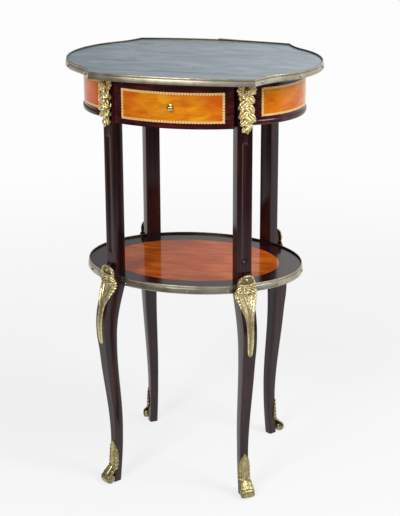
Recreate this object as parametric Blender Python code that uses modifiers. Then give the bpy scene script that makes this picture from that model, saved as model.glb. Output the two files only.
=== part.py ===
"""Two-tier oval table: shaped top, frieze drawer, oval shelf, cabriole legs, brass rims and gilt mounts.

Metres, +Z up. The origin is on the floor under the middle of the top, and the drawer faces -Y.
"""

import math

import bmesh
import bpy
from mathutils import Matrix, Vector

# Clearances
GAP = 0.0003
LEAF_GAP = 0.0005
DRAWER_CLEARANCE = 0.0008

# Top
TABLE_HEIGHT = 0.760
TOP_HALF_LENGTH = 0.225
TOP_HALF_DEPTH = 0.1776
TOP_CORNER_INSET = 0.084
TOP_BOW_RISE = 0.015
TOP_LOBE_INSET = 0.0223
TOP_HOLLOW_RADIUS = 0.122
TOP_RIM_HEIGHT = 0.012
TOP_RIM_WIDTH = 0.0042
TOP_LIP = 0.0025
SLAB_THICKNESS = 0.004
BACK_STRIP_JOINT_X = 0.004

# Legs: posts turned to the diagonal, cabriole below the shelf
LEG_END_INSET = 0.0825
LEG_FRONT_INSET = 0.044
LEG_TURN = math.radians(54)
LEG_FACE = 0.0278
LEG_DEPTH = 0.0207
LEG_ARRIS = 0.0018
KNEE_HEIGHT = 0.2835
KNEE_OUT = 0.0209
KNEE_FACE = 0.0244
KNEE_DEPTH = 0.0268
KNEE_SWELL = 0.0105
KNEE_SWELL_AT_SHELF = 0.0082
KNEE_SWELL_DROP = 0.0253
KNEE_SWELL_RUN = 0.0385
ANKLE_HEIGHT = 0.092
ANKLE_OUT = 0.0064
ANKLE_FACE = 0.0158
ANKLE_DEPTH = 0.0188
TOE_OUT = 0.0122
TOE_SIDE = 0.0155
FLUTE_WIDTH = 0.011
FLUTE_SINK = 0.0016
FLUTE_STOP = 0.020
FLUTE_SIDES = 24

# Frieze
END_OVERHANG = 0.0305
FRONT_OVERHANG = 0.0136
FRIEZE_HEIGHT = 0.0760
RAIL_SETBACK = 0.012
RAIL_THICKNESS = 0.015
LONG_END_INSET = 0.0102
LONG_BOW = 0.0207
LONG_THICKNESS = 0.022
BAND_HEIGHT = 0.0075
BAND_PROUD = 0.0022
BAND_SLOPE = 0.0015
TENON_LENGTH = 0.006
TENON_THICKNESS = 0.0045
TENON_HEIGHT = 0.038
TENON_SETBACK = 0.0165
LONG_TENON_SETBACK = 0.0125

# Inlaid panels of the frieze
PANEL_HEIGHT = 0.0524
PANEL_DROP = 0.0138
PANEL_MARGIN = 0.0181
SIDE_PANEL_MARGIN = 0.0195
STRINGING_WIDTH = 0.0042
INLAY_THICKNESS = 0.0012

# Front rails, drawer and its runners
FRONT_RAIL_WIDTH = 0.017
FRONT_RAIL_BACK = 0.0068
NOSE_MARGIN = 0.003
LOWER_RAIL_HEIGHT = 0.0155
UPPER_RAIL_HEIGHT = 0.0140
STUB_LENGTH = 0.009
STUB_WIDTH = 0.005
STUB_SETBACK = 0.0015
STUB_MARGIN = 0.003
DRAWER_REAR_ROOM = 0.086
DRAWER_SIDE_INSET = 0.005
DRAWER_SIDE_THICKNESS = 0.008
DRAWER_HOUSING = 0.006
DRAWER_BACK_THICKNESS = 0.008
DRAWER_BACK_DROP = 0.004
DRAWER_BOTTOM_THICKNESS = 0.004
DRAWER_BOTTOM_RISE = 0.0030
GROOVE_DEPTH = 0.0030
GUIDE_THICKNESS = 0.006
GUIDE_HEIGHT = 0.012
KNOB_RADIUS = 0.0055
KNOB_LENGTH = 0.0105
KNOB_ROSE_RADIUS = 0.0058
KNOB_ROSE_THICKNESS = 0.0012
KNOB_NECK_RADIUS = 0.0030
KNOB_SHANK_RADIUS = 0.0020
KNOB_DOME_END = math.radians(120)
KNOB_DOME_STEPS = 4
KNOB_SIDES = 16
NUT_RADIUS = 0.0048
NUT_THICKNESS = 0.003
NUT_SIDES = 6
NUT_SEAT_DEPTH = 0.001
NUT_SEAT_MARGIN = 0.0012
SCREW_RADIUS = 0.0018
SCREW_HEAD_RADIUS = 0.0035
SCREW_HEAD_HEIGHT = 0.0020
SCREW_BITE = 0.0040
SCREW_INSET = 0.099
SCREW_SIDES = 12

# Shelf
SHELF_HEIGHT = 0.3908
SHELF_END_INSET = 0.0291
SHELF_FRONT_INSET = 0.0251
SHELF_THICKNESS = 0.0105
SHELF_LIP = 0.0035
SHELF_RIM_WIDTH = 0.0038
SHELF_END_BORDER = 0.0424
SHELF_FRONT_BORDER = 0.0395
PEG_RADIUS = 0.0025
PEG_IN_LEG = 0.009
PEG_IN_SHELF = 0.014
PEG_SIDES = 10

# Section of the brass rims, as shares of a rim's width and height
RIM_BAND_INSET = 0.20
RIM_BAND_CROWN = 0.33
RIM_BAND_TOP = 0.62
RIM_QUIRK_INSET = 0.38
RIM_QUIRK = 0.70
RIM_BEAD_INSET = 0.10
RIM_BEAD = 0.82
RIM_CREST_INSET = 0.50
RIM_INNER_EDGE = 0.92

# Gilt mounts
CHUTE_TOP_DROP = 0.004
CHUTE_LENGTH = 0.083
CHUTE_HALF_WIDTH = 0.0180
CHUTE_TIP_HALF_WIDTH = 0.0075
CHUTE_LOBES = 5
CHUTE_LOBE_STEPS = 4
CHUTE_SCALLOP = 0.0022
CHUTE_THICKNESS = 0.0060
KNEE_MOUNT_RISE = 0.0265
KNEE_MOUNT_DROP = 0.118
KNEE_MOUNT_HALF_WIDTH = 0.0190
KNEE_MOUNT_STEM_HALF_WIDTH = 0.0085
KNEE_MOUNT_THICKNESS = 0.0045
SABOT_HEIGHT = 0.080
SABOT_HALF_WIDTH = 0.0095
SABOT_THICKNESS = 0.0035
SCROLL_RADIUS = 0.0095
SCROLL_HALF_WIDTH = 0.0085
SCROLL_REACH = 0.0395
SCROLL_SIDES = 20
MOUNT_EASE = 0.0012

# Plan sizes that follow from the top's
TOP_CORNER = (TOP_HALF_LENGTH - TOP_CORNER_INSET, TOP_HALF_DEPTH - TOP_BOW_RISE)
LOBE_RADIUS = TOP_HALF_DEPTH - TOP_LOBE_INSET
FRIEZE_HALF_LENGTH = TOP_HALF_LENGTH - END_OVERHANG
FRIEZE_HALF_DEPTH = TOP_HALF_DEPTH - FRONT_OVERHANG
LEG_X = FRIEZE_HALF_LENGTH - LEG_END_INSET
LEG_Y = FRIEZE_HALF_DEPTH - LEG_FRONT_INSET
DRAWER_LENGTH = 2 * FRIEZE_HALF_DEPTH - DRAWER_REAR_ROOM
SCREW_Y = FRIEZE_HALF_DEPTH - SCREW_INSET
LONG_END = LEG_X - LONG_END_INSET
SHELF_HALF_LENGTH = TOP_HALF_LENGTH - SHELF_END_INSET
SHELF_HALF_DEPTH = TOP_HALF_DEPTH - SHELF_FRONT_INSET
SHELF_OVAL_HALF_LENGTH = SHELF_HALF_LENGTH - SHELF_END_BORDER
SHELF_OVAL_HALF_DEPTH = SHELF_HALF_DEPTH - SHELF_FRONT_BORDER

# Levels and places that follow from the sizes above
TOP_BOTTOM = TABLE_HEIGHT - TOP_RIM_HEIGHT
SLAB_TOP = TABLE_HEIGHT - TOP_LIP
FRIEZE_TOP = TOP_BOTTOM - GAP
FRIEZE_BOTTOM = FRIEZE_TOP - FRIEZE_HEIGHT
SHELF_BOTTOM = SHELF_HEIGHT - SHELF_THICKNESS
KNEE_MOUNT_TOP = SHELF_HEIGHT + KNEE_MOUNT_RISE
SWELL_FULL = SHELF_BOTTOM - KNEE_SWELL_DROP
SWELL_END = KNEE_HEIGHT - KNEE_SWELL_RUN
PANEL_TOP = FRIEZE_TOP - PANEL_DROP
KNOB_HEIGHT = PANEL_TOP - PANEL_HEIGHT / 2
RIM_OVERRUN = 3 * TOP_RIM_WIDTH
TENON_BOTTOM = FRIEZE_TOP - FRIEZE_HEIGHT / 2 - TENON_HEIGHT / 2
CORNER_SIGNS = {
    "front_left": (-1, -1),
    "front_right": (1, -1),
    "back_left": (-1, 1),
    "back_right": (1, 1),
}

# Fineness of the meshes
ARC_STEP = math.radians(6)
FLAT_ARC_STEP = math.radians(3)
SHELL_ARC_STEP = math.radians(15)
SMOOTH_ANGLE = math.radians(35)
BEVEL_ANGLE = math.radians(50)
WELD_DISTANCE = 0.000001
SLICE_MARGIN = 0.0001
SHOULDER_STEPS = 5
SWEEP_STEPS = 8
TOE_STEPS = 4


def clear_scene():
    for obj in list(bpy.data.objects):
        bpy.data.objects.remove(obj, do_unlink=True)


def new_collection(name):
    collection = bpy.data.collections.new(name)
    bpy.context.scene.collection.children.link(collection)
    return collection


def finish(name, colour, roughness, metallic=0.0):
    made = bpy.data.materials.new(name)
    made.use_nodes = True
    shader = made.node_tree.nodes["Principled BSDF"]
    shader.inputs["Base Color"].default_value = (*colour, 1)
    shader.inputs["Roughness"].default_value = roughness
    shader.inputs["Metallic"].default_value = metallic
    made.diffuse_color = (*colour, 1)
    return made


clear_scene()
parts = new_collection("etagere")
cutters = new_collection("cutters")

DARK_WOOD = finish("french_polished_dark_wood", (0.030, 0.010, 0.009), 0.20)
SATINWOOD = finish("satinwood_veneer", (0.60, 0.20, 0.02), 0.25)
BOXWOOD = finish("boxwood_stringing", (0.75, 0.55, 0.22), 0.35)
OAK = finish("oak_carcass", (0.36, 0.22, 0.11), 0.60)
STONE = finish("grey_blue_stone", (0.20, 0.24, 0.28), 0.18)
BRASS = finish("pale_brass", (0.78, 0.72, 0.56), 0.28, 1.0)
GILT = finish("gilt_bronze", (0.80, 0.64, 0.30), 0.32, 1.0)
STEEL = finish("steel", (0.45, 0.45, 0.45), 0.35, 1.0)


def add_part(name, mesh, material):
    mesh.materials.clear()
    mesh.materials.append(material)
    obj = bpy.data.objects.new(name, mesh)
    parts.objects.link(obj)
    return obj


def add_cutter(name, mesh):
    obj = bpy.data.objects.new(name, mesh)
    cutters.objects.link(obj)
    obj.hide_render = True
    obj.display_type = "WIRE"
    return obj


def combine(target, tool, operation):
    modifier = target.modifiers.new(tool.name, "BOOLEAN")
    modifier.operation = operation
    modifier.object = tool


def cut(target, *tools):
    for tool in tools:
        combine(target, tool, "DIFFERENCE")


def weld(mesh):
    work = bmesh.new()
    work.from_mesh(mesh)
    bmesh.ops.remove_doubles(work, verts=work.verts, dist=WELD_DISTANCE)
    bmesh.ops.recalc_face_normals(work, faces=work.faces)
    work.to_mesh(mesh)
    work.free()


def evaluated_mesh(obj):
    bpy.context.view_layer.update()
    graph = bpy.context.evaluated_depsgraph_get()
    mesh = bpy.data.meshes.new_from_object(obj.evaluated_get(graph))
    weld(mesh)
    return mesh


def baked(obj):
    """The object's mesh with its modifiers applied; the object itself is removed."""
    mesh = evaluated_mesh(obj)
    bpy.data.objects.remove(obj, do_unlink=True)
    return mesh


def curve_mesh(curve):
    holder = bpy.data.objects.new(curve.name, curve)
    cutters.objects.link(holder)
    return baked(holder)


def add_spline(curve, points, cyclic):
    spline = curve.splines.new("POLY")
    spline.points.add(len(points) - 1)
    for point, (x, y) in zip(spline.points, points):
        point.co = (x, y, 0, 1)
    spline.use_cyclic_u = cyclic


def plate(name, outline, bottom, top):
    """A flat outline, raised from one level to another."""
    curve = bpy.data.curves.new(name, "CURVE")
    curve.dimensions = "2D"
    curve.fill_mode = "BOTH"
    curve.extrude = (top - bottom) / 2
    add_spline(curve, outline, True)
    mesh = curve_mesh(curve)
    mesh.transform(Matrix.Translation((0, 0, (top + bottom) / 2)))
    return mesh


def moulding(name, path, profile, bottom):
    """A profile of (outward, up) points, run along a flat path that keeps its outside on the right."""
    section = bpy.data.curves.new(name + "_section", "CURVE")
    section.dimensions = "2D"
    section.fill_mode = "NONE"
    add_spline(section, profile, True)
    holder = bpy.data.objects.new(section.name, section)
    cutters.objects.link(holder)
    curve = bpy.data.curves.new(name, "CURVE")
    curve.dimensions = "2D"
    curve.fill_mode = "NONE"
    curve.bevel_mode = "OBJECT"
    curve.bevel_object = holder
    curve.use_fill_caps = True
    add_spline(curve, path, False)
    mesh = curve_mesh(curve)
    bpy.data.objects.remove(holder, do_unlink=True)
    mesh.transform(Matrix.Translation((0, 0, bottom)))
    return mesh


def box(name, low, high):
    mesh = bpy.data.meshes.new(name)
    work = bmesh.new()
    size = [b - a for a, b in zip(low, high)]
    middle = [(a + b) / 2 for a, b in zip(low, high)]
    bmesh.ops.create_cube(work, size=1, matrix=Matrix.Translation(middle) @ Matrix.Diagonal((*size, 1)))
    work.to_mesh(mesh)
    work.free()
    return mesh


def turned(name, profile, sides):
    """A profile of (radius, height) points, from top to bottom, turned round Z."""
    mesh = bpy.data.meshes.new(name)
    edges = [(i, i + 1) for i in range(len(profile) - 1)]
    mesh.from_pydata([(r, 0, z) for r, z in profile], edges, [])
    holder = bpy.data.objects.new(name, mesh)
    cutters.objects.link(holder)
    screw = holder.modifiers.new("turn", "SCREW")
    screw.steps = sides
    screw.render_steps = sides
    screw.use_merge_vertices = True
    screw.merge_threshold = WELD_DISTANCE
    return baked(holder)


def rod(name, radius, low, high, sides):
    return turned(name, [(0, high), (radius, high), (radius, low), (0, low)], sides)


def shade_round(obj):
    obj.data.shade_smooth()
    obj.data.set_sharp_from_angle(angle=SMOOTH_ANGLE)


def bevelled(obj, width):
    bevel = obj.modifiers.new("bevel", "BEVEL")
    bevel.width = width
    bevel.segments = 1
    bevel.limit_method = "ANGLE"
    bevel.angle_limit = BEVEL_ANGLE


def facing(point, direction):
    """A placing that turns +Z to a direction and moves the origin to a point."""
    return Matrix.Translation(point) @ Vector(direction).to_track_quat("Z", "Y").to_matrix().to_4x4()


# Plan geometry

def arc(centre, radius, start, end, step=ARC_STEP):
    count = max(2, math.ceil(abs(end - start) / step))
    angles = [start + (end - start) * i / count for i in range(count + 1)]
    return [(centre[0] + radius * math.cos(a), centre[1] + radius * math.sin(a)) for a in angles]


def circles_meet(centre_a, radius_a, centre_b, radius_b, near):
    """Where two circles cross, on the side of a given point."""
    a = Vector(centre_a)
    b = Vector(centre_b)
    span = (b - a).length
    along = (span ** 2 + radius_a ** 2 - radius_b ** 2) / (2 * span)
    aside = math.sqrt(radius_a ** 2 - along ** 2)
    unit = (b - a) / span
    foot = a + unit * along
    normal = Vector((-unit.y, unit.x))
    crossings = [foot + normal * aside, foot - normal * aside]
    return min(crossings, key=lambda p: (p - Vector(near)).length)


def angle_at(centre, point):
    return math.atan2(point[1] - centre[1], point[0] - centre[0])


def mirrored_x(points):
    return [(-x, y) for x, y in reversed(points)]


def mirrored_y(points):
    return [(x, -y) for x, y in reversed(points)]


def bow_radius(half_chord, rise):
    return (half_chord ** 2 + rise ** 2) / (2 * rise)


# The top's outline: a round lobe at each end, hollow shoulders, and bowed long sides
LOBE_CENTRE = (TOP_HALF_LENGTH - LOBE_RADIUS, 0.0)
TOP_BOW_RADIUS = bow_radius(TOP_CORNER[0], TOP_BOW_RISE)
TOP_BOW_CENTRE = (0.0, TOP_HALF_DEPTH - TOP_BOW_RADIUS)
HOLLOW_CENTRE = tuple(circles_meet(
    LOBE_CENTRE, LOBE_RADIUS + TOP_HOLLOW_RADIUS, TOP_CORNER, TOP_HOLLOW_RADIUS,
    (2 * TOP_HALF_LENGTH, 2 * TOP_HALF_DEPTH)))


def top_corner(inset):
    return circles_meet(TOP_BOW_CENTRE, TOP_BOW_RADIUS - inset, HOLLOW_CENTRE, TOP_HOLLOW_RADIUS + inset,
                        TOP_CORNER)


def top_end(inset):
    """The right end's outline, from its front corner to its back corner."""
    join = angle_at(LOBE_CENTRE, HOLLOW_CENTRE)
    corner = angle_at(HOLLOW_CENTRE, top_corner(inset))
    lobe = arc(LOBE_CENTRE, LOBE_RADIUS - inset, 0.0, join)
    start = join + math.pi
    hollow = arc(HOLLOW_CENTRE, TOP_HOLLOW_RADIUS + inset, start, corner % (2 * math.pi))
    half = lobe + hollow[1:]
    return mirrored_y(half)[:-1] + half


def top_back(inset, end_x):
    """The back's outline, from its right corner to a given x."""
    corner = top_corner(inset)
    radius = TOP_BOW_RADIUS - inset
    last = math.acos(end_x / radius)
    return arc(TOP_BOW_CENTRE, radius, angle_at(TOP_BOW_CENTRE, corner), last, FLAT_ARC_STEP)


def top_outline(inset):
    right = top_end(inset)
    back = top_back(inset, -top_corner(inset).x)
    left = [(-x, -y) for x, y in right]
    front = [(-x, -y) for x, y in back]
    return right + back[1:-1] + left + front[1:-1]


# The legs' plan

def leg_axes(corner):
    """A leg's centre, its outward direction, and the direction along its face towards the end rail."""
    sx, sy = CORNER_SIGNS[corner]
    centre = Vector((sx * LEG_X, sy * LEG_Y))
    out = Vector((sx * math.cos(LEG_TURN), sy * math.sin(LEG_TURN)))
    endward = Vector((sx * math.sin(LEG_TURN), -sy * math.cos(LEG_TURN)))
    return centre, out, endward


def leg_place(corner):
    centre, out, _ = leg_axes(corner)
    return Matrix.Translation((*centre, 0)) @ Matrix.Rotation(math.atan2(out.y, out.x), 4, "Z")


def leg_section(corner, grow, inward=0.0):
    """The post's section in plan; it can run on behind the post's inner face."""
    centre, out, endward = leg_axes(corner)
    outer = out * (LEG_DEPTH / 2 + grow)
    inner = out * (LEG_DEPTH / 2 + grow + inward)
    wide = endward * (LEG_FACE / 2 + grow)
    return [tuple(centre + outer + wide), tuple(centre + outer - wide),
            tuple(centre - inner - wide), tuple(centre - inner + wide)]


def post_cutter(name, corner, bottom, top, inward=0.0):
    return add_cutter(name, plate(name, leg_section(corner, GAP, inward), bottom, top))


def end_rail_seat(corner):
    """Where an end rail's outer face meets the leg's flank."""
    centre, out, endward = leg_axes(corner)
    return centre + out * (LEG_DEPTH / 2 - RAIL_SETBACK) + endward * LEG_FACE / 2


END_SEAT = end_rail_seat("back_right")
END_RADIUS = bow_radius(END_SEAT.y, FRIEZE_HALF_LENGTH - END_SEAT.x)
END_CENTRE = (FRIEZE_HALF_LENGTH - END_RADIUS, 0.0)
LONG_RADIUS = bow_radius(LONG_END, LONG_BOW)
LONG_INNER_RADIUS = LONG_RADIUS - LONG_THICKNESS
LONG_CENTRE = (0.0, FRIEZE_HALF_DEPTH - LONG_RADIUS)
PANEL_HALF_WIDTH = LONG_END - PANEL_MARGIN
SIDE_PANEL_ANGLE = angle_at(END_CENTRE, END_SEAT) - SIDE_PANEL_MARGIN / END_RADIUS
# The post's corner that stands nearest to the drawer
POST_INNER_X = min(abs(x) for x, _ in leg_section("back_right", 0.0))
POST_INNER_Y = min(leg_section("back_right", 0.0), key=lambda p: abs(p[0]))[1]


# The leg's run in its own frame: X outwards, Y along its face

def between(share, start, end):
    return start + (end - start) * share


def leg_shift(z):
    """How far the leg's middle stands out from the post's: shoulder, sweep and toe."""
    if z >= SHELF_BOTTOM:
        return 0.0
    if z >= KNEE_HEIGHT:
        return KNEE_OUT * math.sin(math.pi / 2 * (SHELF_BOTTOM - z) / (SHELF_BOTTOM - KNEE_HEIGHT))
    if z >= ANKLE_HEIGHT:
        turn = math.pi * (KNEE_HEIGHT - z) / (KNEE_HEIGHT - ANKLE_HEIGHT)
        return between((1 - math.cos(turn)) / 2, KNEE_OUT, ANKLE_OUT)
    return between(1 - math.cos(math.pi / 2 * (ANKLE_HEIGHT - z) / ANKLE_HEIGHT), ANKLE_OUT, TOE_OUT)


def leg_width(z, post, knee, ankle):
    """A width of the leg at a level, from its widths at the post, the knee and the ankle."""
    if z >= SHELF_BOTTOM:
        return post
    if z >= KNEE_HEIGHT:
        return between((SHELF_BOTTOM - z) / (SHELF_BOTTOM - KNEE_HEIGHT), post, knee)
    if z >= ANKLE_HEIGHT:
        return between((KNEE_HEIGHT - z) / (KNEE_HEIGHT - ANKLE_HEIGHT), knee, ankle)
    return between((ANKLE_HEIGHT - z) / ANKLE_HEIGHT, ankle, TOE_SIDE)


def leg_depth(z):
    return leg_width(z, LEG_DEPTH, KNEE_DEPTH, ANKLE_DEPTH)


def leg_swell(z):
    """How much further the outer face stands out under the knee mount than the sweep alone."""
    if z >= KNEE_MOUNT_TOP:
        return 0.0
    if z >= SHELF_HEIGHT:
        return between((z - SHELF_HEIGHT) / KNEE_MOUNT_RISE, KNEE_SWELL_AT_SHELF, 0.0)
    if z >= SWELL_FULL:
        return between((z - SWELL_FULL) / (SHELF_HEIGHT - SWELL_FULL), KNEE_SWELL, KNEE_SWELL_AT_SHELF)
    if z >= SWELL_END:
        return KNEE_SWELL * (1 - math.cos(math.pi * (z - SWELL_END) / (SWELL_FULL - SWELL_END))) / 2
    return 0.0


def spread(low, high, count):
    """Evenly spaced levels from low, up to but not including high."""
    return [between(i / count, low, high) for i in range(count)]


LEG_LEVELS = (spread(0.0, ANKLE_HEIGHT, TOE_STEPS) + spread(ANKLE_HEIGHT, KNEE_HEIGHT, SWEEP_STEPS)
              + spread(KNEE_HEIGHT, SHELF_BOTTOM, SHOULDER_STEPS)
              + [SHELF_BOTTOM, SHELF_HEIGHT, KNEE_MOUNT_TOP, FRIEZE_TOP])


def leg_outer(z):
    """The outer face's distance from the post's middle, straight between the leg's levels."""
    faces = [leg_shift(level) + leg_depth(level) / 2 + leg_swell(level) for level in LEG_LEVELS]
    for low, high, a, b in zip(LEG_LEVELS, LEG_LEVELS[1:], faces, faces[1:]):
        if z <= high:
            return between((z - low) / (high - low), a, b)
    return faces[-1]


def slice_at_levels(mesh):
    """Cuts a mesh across at each of the leg's levels, so that it can be bent."""
    work = bmesh.new()
    work.from_mesh(mesh)
    heights = [v.co.z for v in work.verts]
    for level in LEG_LEVELS:
        if min(heights) + SLICE_MARGIN < level < max(heights) - SLICE_MARGIN:
            everything = work.verts[:] + work.edges[:] + work.faces[:]
            bmesh.ops.bisect_plane(work, geom=everything, dist=WELD_DISTANCE,
                                   plane_co=(0, 0, level), plane_no=(0, 0, 1))
    work.to_mesh(mesh)
    work.free()


def leg_mesh(grow, bottom):
    """The leg as a box of unit section, cut across at its levels, then drawn in and bent."""
    mesh = box("leg", (-0.5, -0.5, bottom), (0.5, 0.5, FRIEZE_TOP))
    slice_at_levels(mesh)
    for vertex in mesh.vertices:
        z = vertex.co.z
        swell = leg_swell(z) if vertex.co.x > 0 else 0.0
        vertex.co.x = leg_shift(z) + vertex.co.x * (leg_depth(z) + 2 * grow) + swell
        vertex.co.y = vertex.co.y * (leg_width(z, LEG_FACE, KNEE_FACE, ANKLE_FACE) + 2 * grow)
    return mesh


def flute_cutter():
    """A round-bottomed groove in the post's outer face, stopped short of the frieze and the shelf."""
    radius = bow_radius(FLUTE_WIDTH / 2, FLUTE_SINK)
    bottom = KNEE_MOUNT_TOP + FLUTE_STOP
    top = FRIEZE_BOTTOM - FLUTE_STOP
    mesh = rod("flute", radius, bottom, top, FLUTE_SIDES)
    mesh.transform(Matrix.Translation((LEG_DEPTH / 2 - FLUTE_SINK + radius, 0, 0)))
    return add_cutter("flute", mesh)


def build_legs():
    template = add_cutter("leg_template", leg_mesh(0.0, 0.0))
    bevelled(template, LEG_ARRIS)
    cut(template, flute_cutter())
    mesh = baked(template)
    legs = {}
    for corner in CORNER_SIGNS:
        leg = add_part("leg_" + corner, mesh.copy(), DARK_WOOD)
        leg.matrix_world = leg_place(corner)
        shade_round(leg)
        legs[corner] = leg
    return legs


# Tenons: a block on the rail's end and the mortise that takes it

def tenon_block(name, corner, side, grow, root):
    """A block across the leg's flank, into the leg and back into the rail; side 1 faces the end rail."""
    centre, out, endward = leg_axes(corner)
    along = endward * side
    half_thick = TENON_THICKNESS / 2 + grow
    low = (LEG_FACE / 2 - TENON_LENGTH - grow, -half_thick, TENON_BOTTOM - grow)
    high = (LEG_FACE / 2 + root, half_thick, TENON_BOTTOM + TENON_HEIGHT + grow)
    mesh = box(name, low, high)
    setback = TENON_SETBACK if side > 0 else LONG_TENON_SETBACK
    middle = centre + out * (LEG_DEPTH / 2 - setback)
    turn = Matrix.Rotation(math.atan2(along.y, along.x), 4, "Z")
    mesh.transform(Matrix.Translation((*middle, 0)) @ turn)
    return add_cutter(name, mesh)


def join_rail(rail, leg, corner, side):
    name = rail.name + "_" + corner
    combine(rail, tenon_block(name + "_tenon", corner, side, 0.0, TENON_LENGTH), "UNION")
    cut(leg, tenon_block(name + "_mortise", corner, side, GAP, TENON_LENGTH))


# Frieze rails and their inlay

def band_outline(centre, radius, depth, half_angle, middle):
    """A curved band in plan, from its outer radius inwards."""
    outer = arc(centre, radius, middle - half_angle, middle + half_angle)
    inner = arc(centre, radius - depth, middle + half_angle, middle - half_angle)
    return outer + inner


def inlay(owner, side, centre, radius, half_angle, middle, top):
    """A panel with stringing round it, let into a curved face; the level is the stringing's upper edge."""
    border = STRINGING_WIDTH / radius
    slack = GAP / radius
    bottom = top - PANEL_HEIGHT
    field_bottom = bottom + STRINGING_WIDTH
    field_top = top - STRINGING_WIDTH
    field_outline = band_outline(centre, radius, INLAY_THICKNESS, half_angle - border, middle)
    field_plate = plate(side + "_panel", field_outline, field_bottom, field_top)
    field = add_part(side + "_panel", field_plate, SATINWOOD)
    frame_outline = band_outline(centre, radius, INLAY_THICKNESS, half_angle, middle)
    frame_plate = plate(side + "_stringing", frame_outline, bottom, top)
    frame = add_part(side + "_stringing", frame_plate, BOXWOOD)
    hole_outline = band_outline(centre, radius + INLAY_THICKNESS, 3 * INLAY_THICKNESS,
                                half_angle - border + slack, middle)
    hole = plate(side + "_panel_hole", hole_outline, field_bottom - GAP, field_top + GAP)
    cut(frame, add_cutter(side + "_panel_hole", hole))
    recess_outline = band_outline(centre, radius + INLAY_THICKNESS, 2 * INLAY_THICKNESS + GAP,
                                  half_angle + slack, middle)
    recess = plate(side + "_recess", recess_outline, bottom - GAP, top + GAP)
    cut(owner, add_cutter(side + "_recess", recess))
    return field, frame


def end_rail(name, sign, legs):
    """A bowed end rail with a proud band along its lower edge."""
    middle = 0.0 if sign > 0 else math.pi
    centre = (sign * END_CENTRE[0], 0.0)
    reach = angle_at(END_CENTRE, (LEG_X, LEG_Y))
    profile = [(0.0, FRIEZE_HEIGHT), (-RAIL_THICKNESS, FRIEZE_HEIGHT), (-RAIL_THICKNESS, 0.0),
               (BAND_PROUD, 0.0), (BAND_PROUD, BAND_HEIGHT), (0.0, BAND_HEIGHT + BAND_SLOPE)]
    path = arc(centre, END_RADIUS, middle - reach, middle + reach)
    rail = add_part(name, moulding(name, path, profile, FRIEZE_BOTTOM), DARK_WOOD)
    side = "right" if sign > 0 else "left"
    for corner in ("front_" + side, "back_" + side):
        cut(rail, post_cutter(name + "_" + corner, corner, SHELF_BOTTOM, TABLE_HEIGHT, RAIL_THICKNESS))
        join_rail(rail, legs[corner], corner, 1)
    inlay(rail, "side_" + side, centre, END_RADIUS, SIDE_PANEL_ANGLE, middle, PANEL_TOP)
    return rail


def long_outline(sign):
    """The back rail (sign 1) or the drawer front (sign -1) in plan: bowed, with square ends."""
    centre = (0.0, sign * LONG_CENTRE[1])
    middle = sign * math.pi / 2
    half = math.asin(LONG_END / LONG_RADIUS)
    inner_half = math.asin(LONG_END / LONG_INNER_RADIUS)
    return (arc(centre, LONG_RADIUS, middle - half, middle + half)
            + arc(centre, LONG_INNER_RADIUS, middle + inner_half, middle - inner_half))


def back_rail(legs):
    rail = add_part("back_rail", plate("back_rail", long_outline(1), FRIEZE_BOTTOM, FRIEZE_TOP), DARK_WOOD)
    for corner in ("back_left", "back_right"):
        cut(rail, post_cutter("back_rail_" + corner, corner, SHELF_BOTTOM, TABLE_HEIGHT))
        join_rail(rail, legs[corner], corner, -1)
    half_angle = math.asin((PANEL_HALF_WIDTH + STRINGING_WIDTH) / LONG_RADIUS)
    inlay(rail, "back", LONG_CENTRE, LONG_RADIUS, half_angle, math.pi / 2, PANEL_TOP)
    return rail


DRAWER_FRONT_REAR = LONG_THICKNESS - FRIEZE_HALF_DEPTH
NUT_SEAT = DRAWER_FRONT_REAR - NUT_SEAT_DEPTH
# Beside its bowed nose, a front rail lies behind the posts' inner corners
FRONT_RAIL_FRONT = FRONT_RAIL_BACK - POST_INNER_Y
FRONT_RAIL_REAR = FRONT_RAIL_FRONT + FRONT_RAIL_WIDTH
LOWER_RAIL_TOP = FRIEZE_BOTTOM + LOWER_RAIL_HEIGHT
UPPER_RAIL_BOTTOM = FRIEZE_TOP - UPPER_RAIL_HEIGHT
BOX_HALF_WIDTH = POST_INNER_X - DRAWER_CLEARANCE - DRAWER_SIDE_INSET
BOX_BOTTOM = LOWER_RAIL_TOP + GAP
BOX_TOP = UPPER_RAIL_BOTTOM - DRAWER_CLEARANCE
BOX_REAR = DRAWER_FRONT_REAR + DRAWER_LENGTH
DRAWER_FLOOR = BOX_BOTTOM + DRAWER_BOTTOM_RISE + DRAWER_BOTTOM_THICKNESS


def stub_tenon(name, sign, bottom, top, grow):
    """A short tenon along a front rail, into the post through its inner face."""
    front = FRONT_RAIL_FRONT + STUB_SETBACK
    start = POST_INNER_X + (front + POST_INNER_Y) * math.tan(LEG_TURN)
    xs = sorted((sign * (start - STUB_LENGTH), sign * (start + STUB_LENGTH + grow)))
    low = (xs[0], front - grow, bottom - grow)
    high = (xs[1], front + STUB_WIDTH + grow, top + grow)
    return add_cutter(name, box(name, low, high))


def end_rail_cutter(name, sign):
    """An end rail's inner face and all beyond it."""
    reach = angle_at(END_CENTRE, (LEG_X, LEG_Y))
    middle = 0.0 if sign > 0 else math.pi
    outline = band_outline((sign * END_CENTRE[0], 0.0), END_RADIUS + RAIL_THICKNESS, 2 * RAIL_THICKNESS + GAP,
                           reach, middle)
    return add_cutter(name, plate(name, outline, FRIEZE_BOTTOM - GAP, TABLE_HEIGHT))


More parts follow.
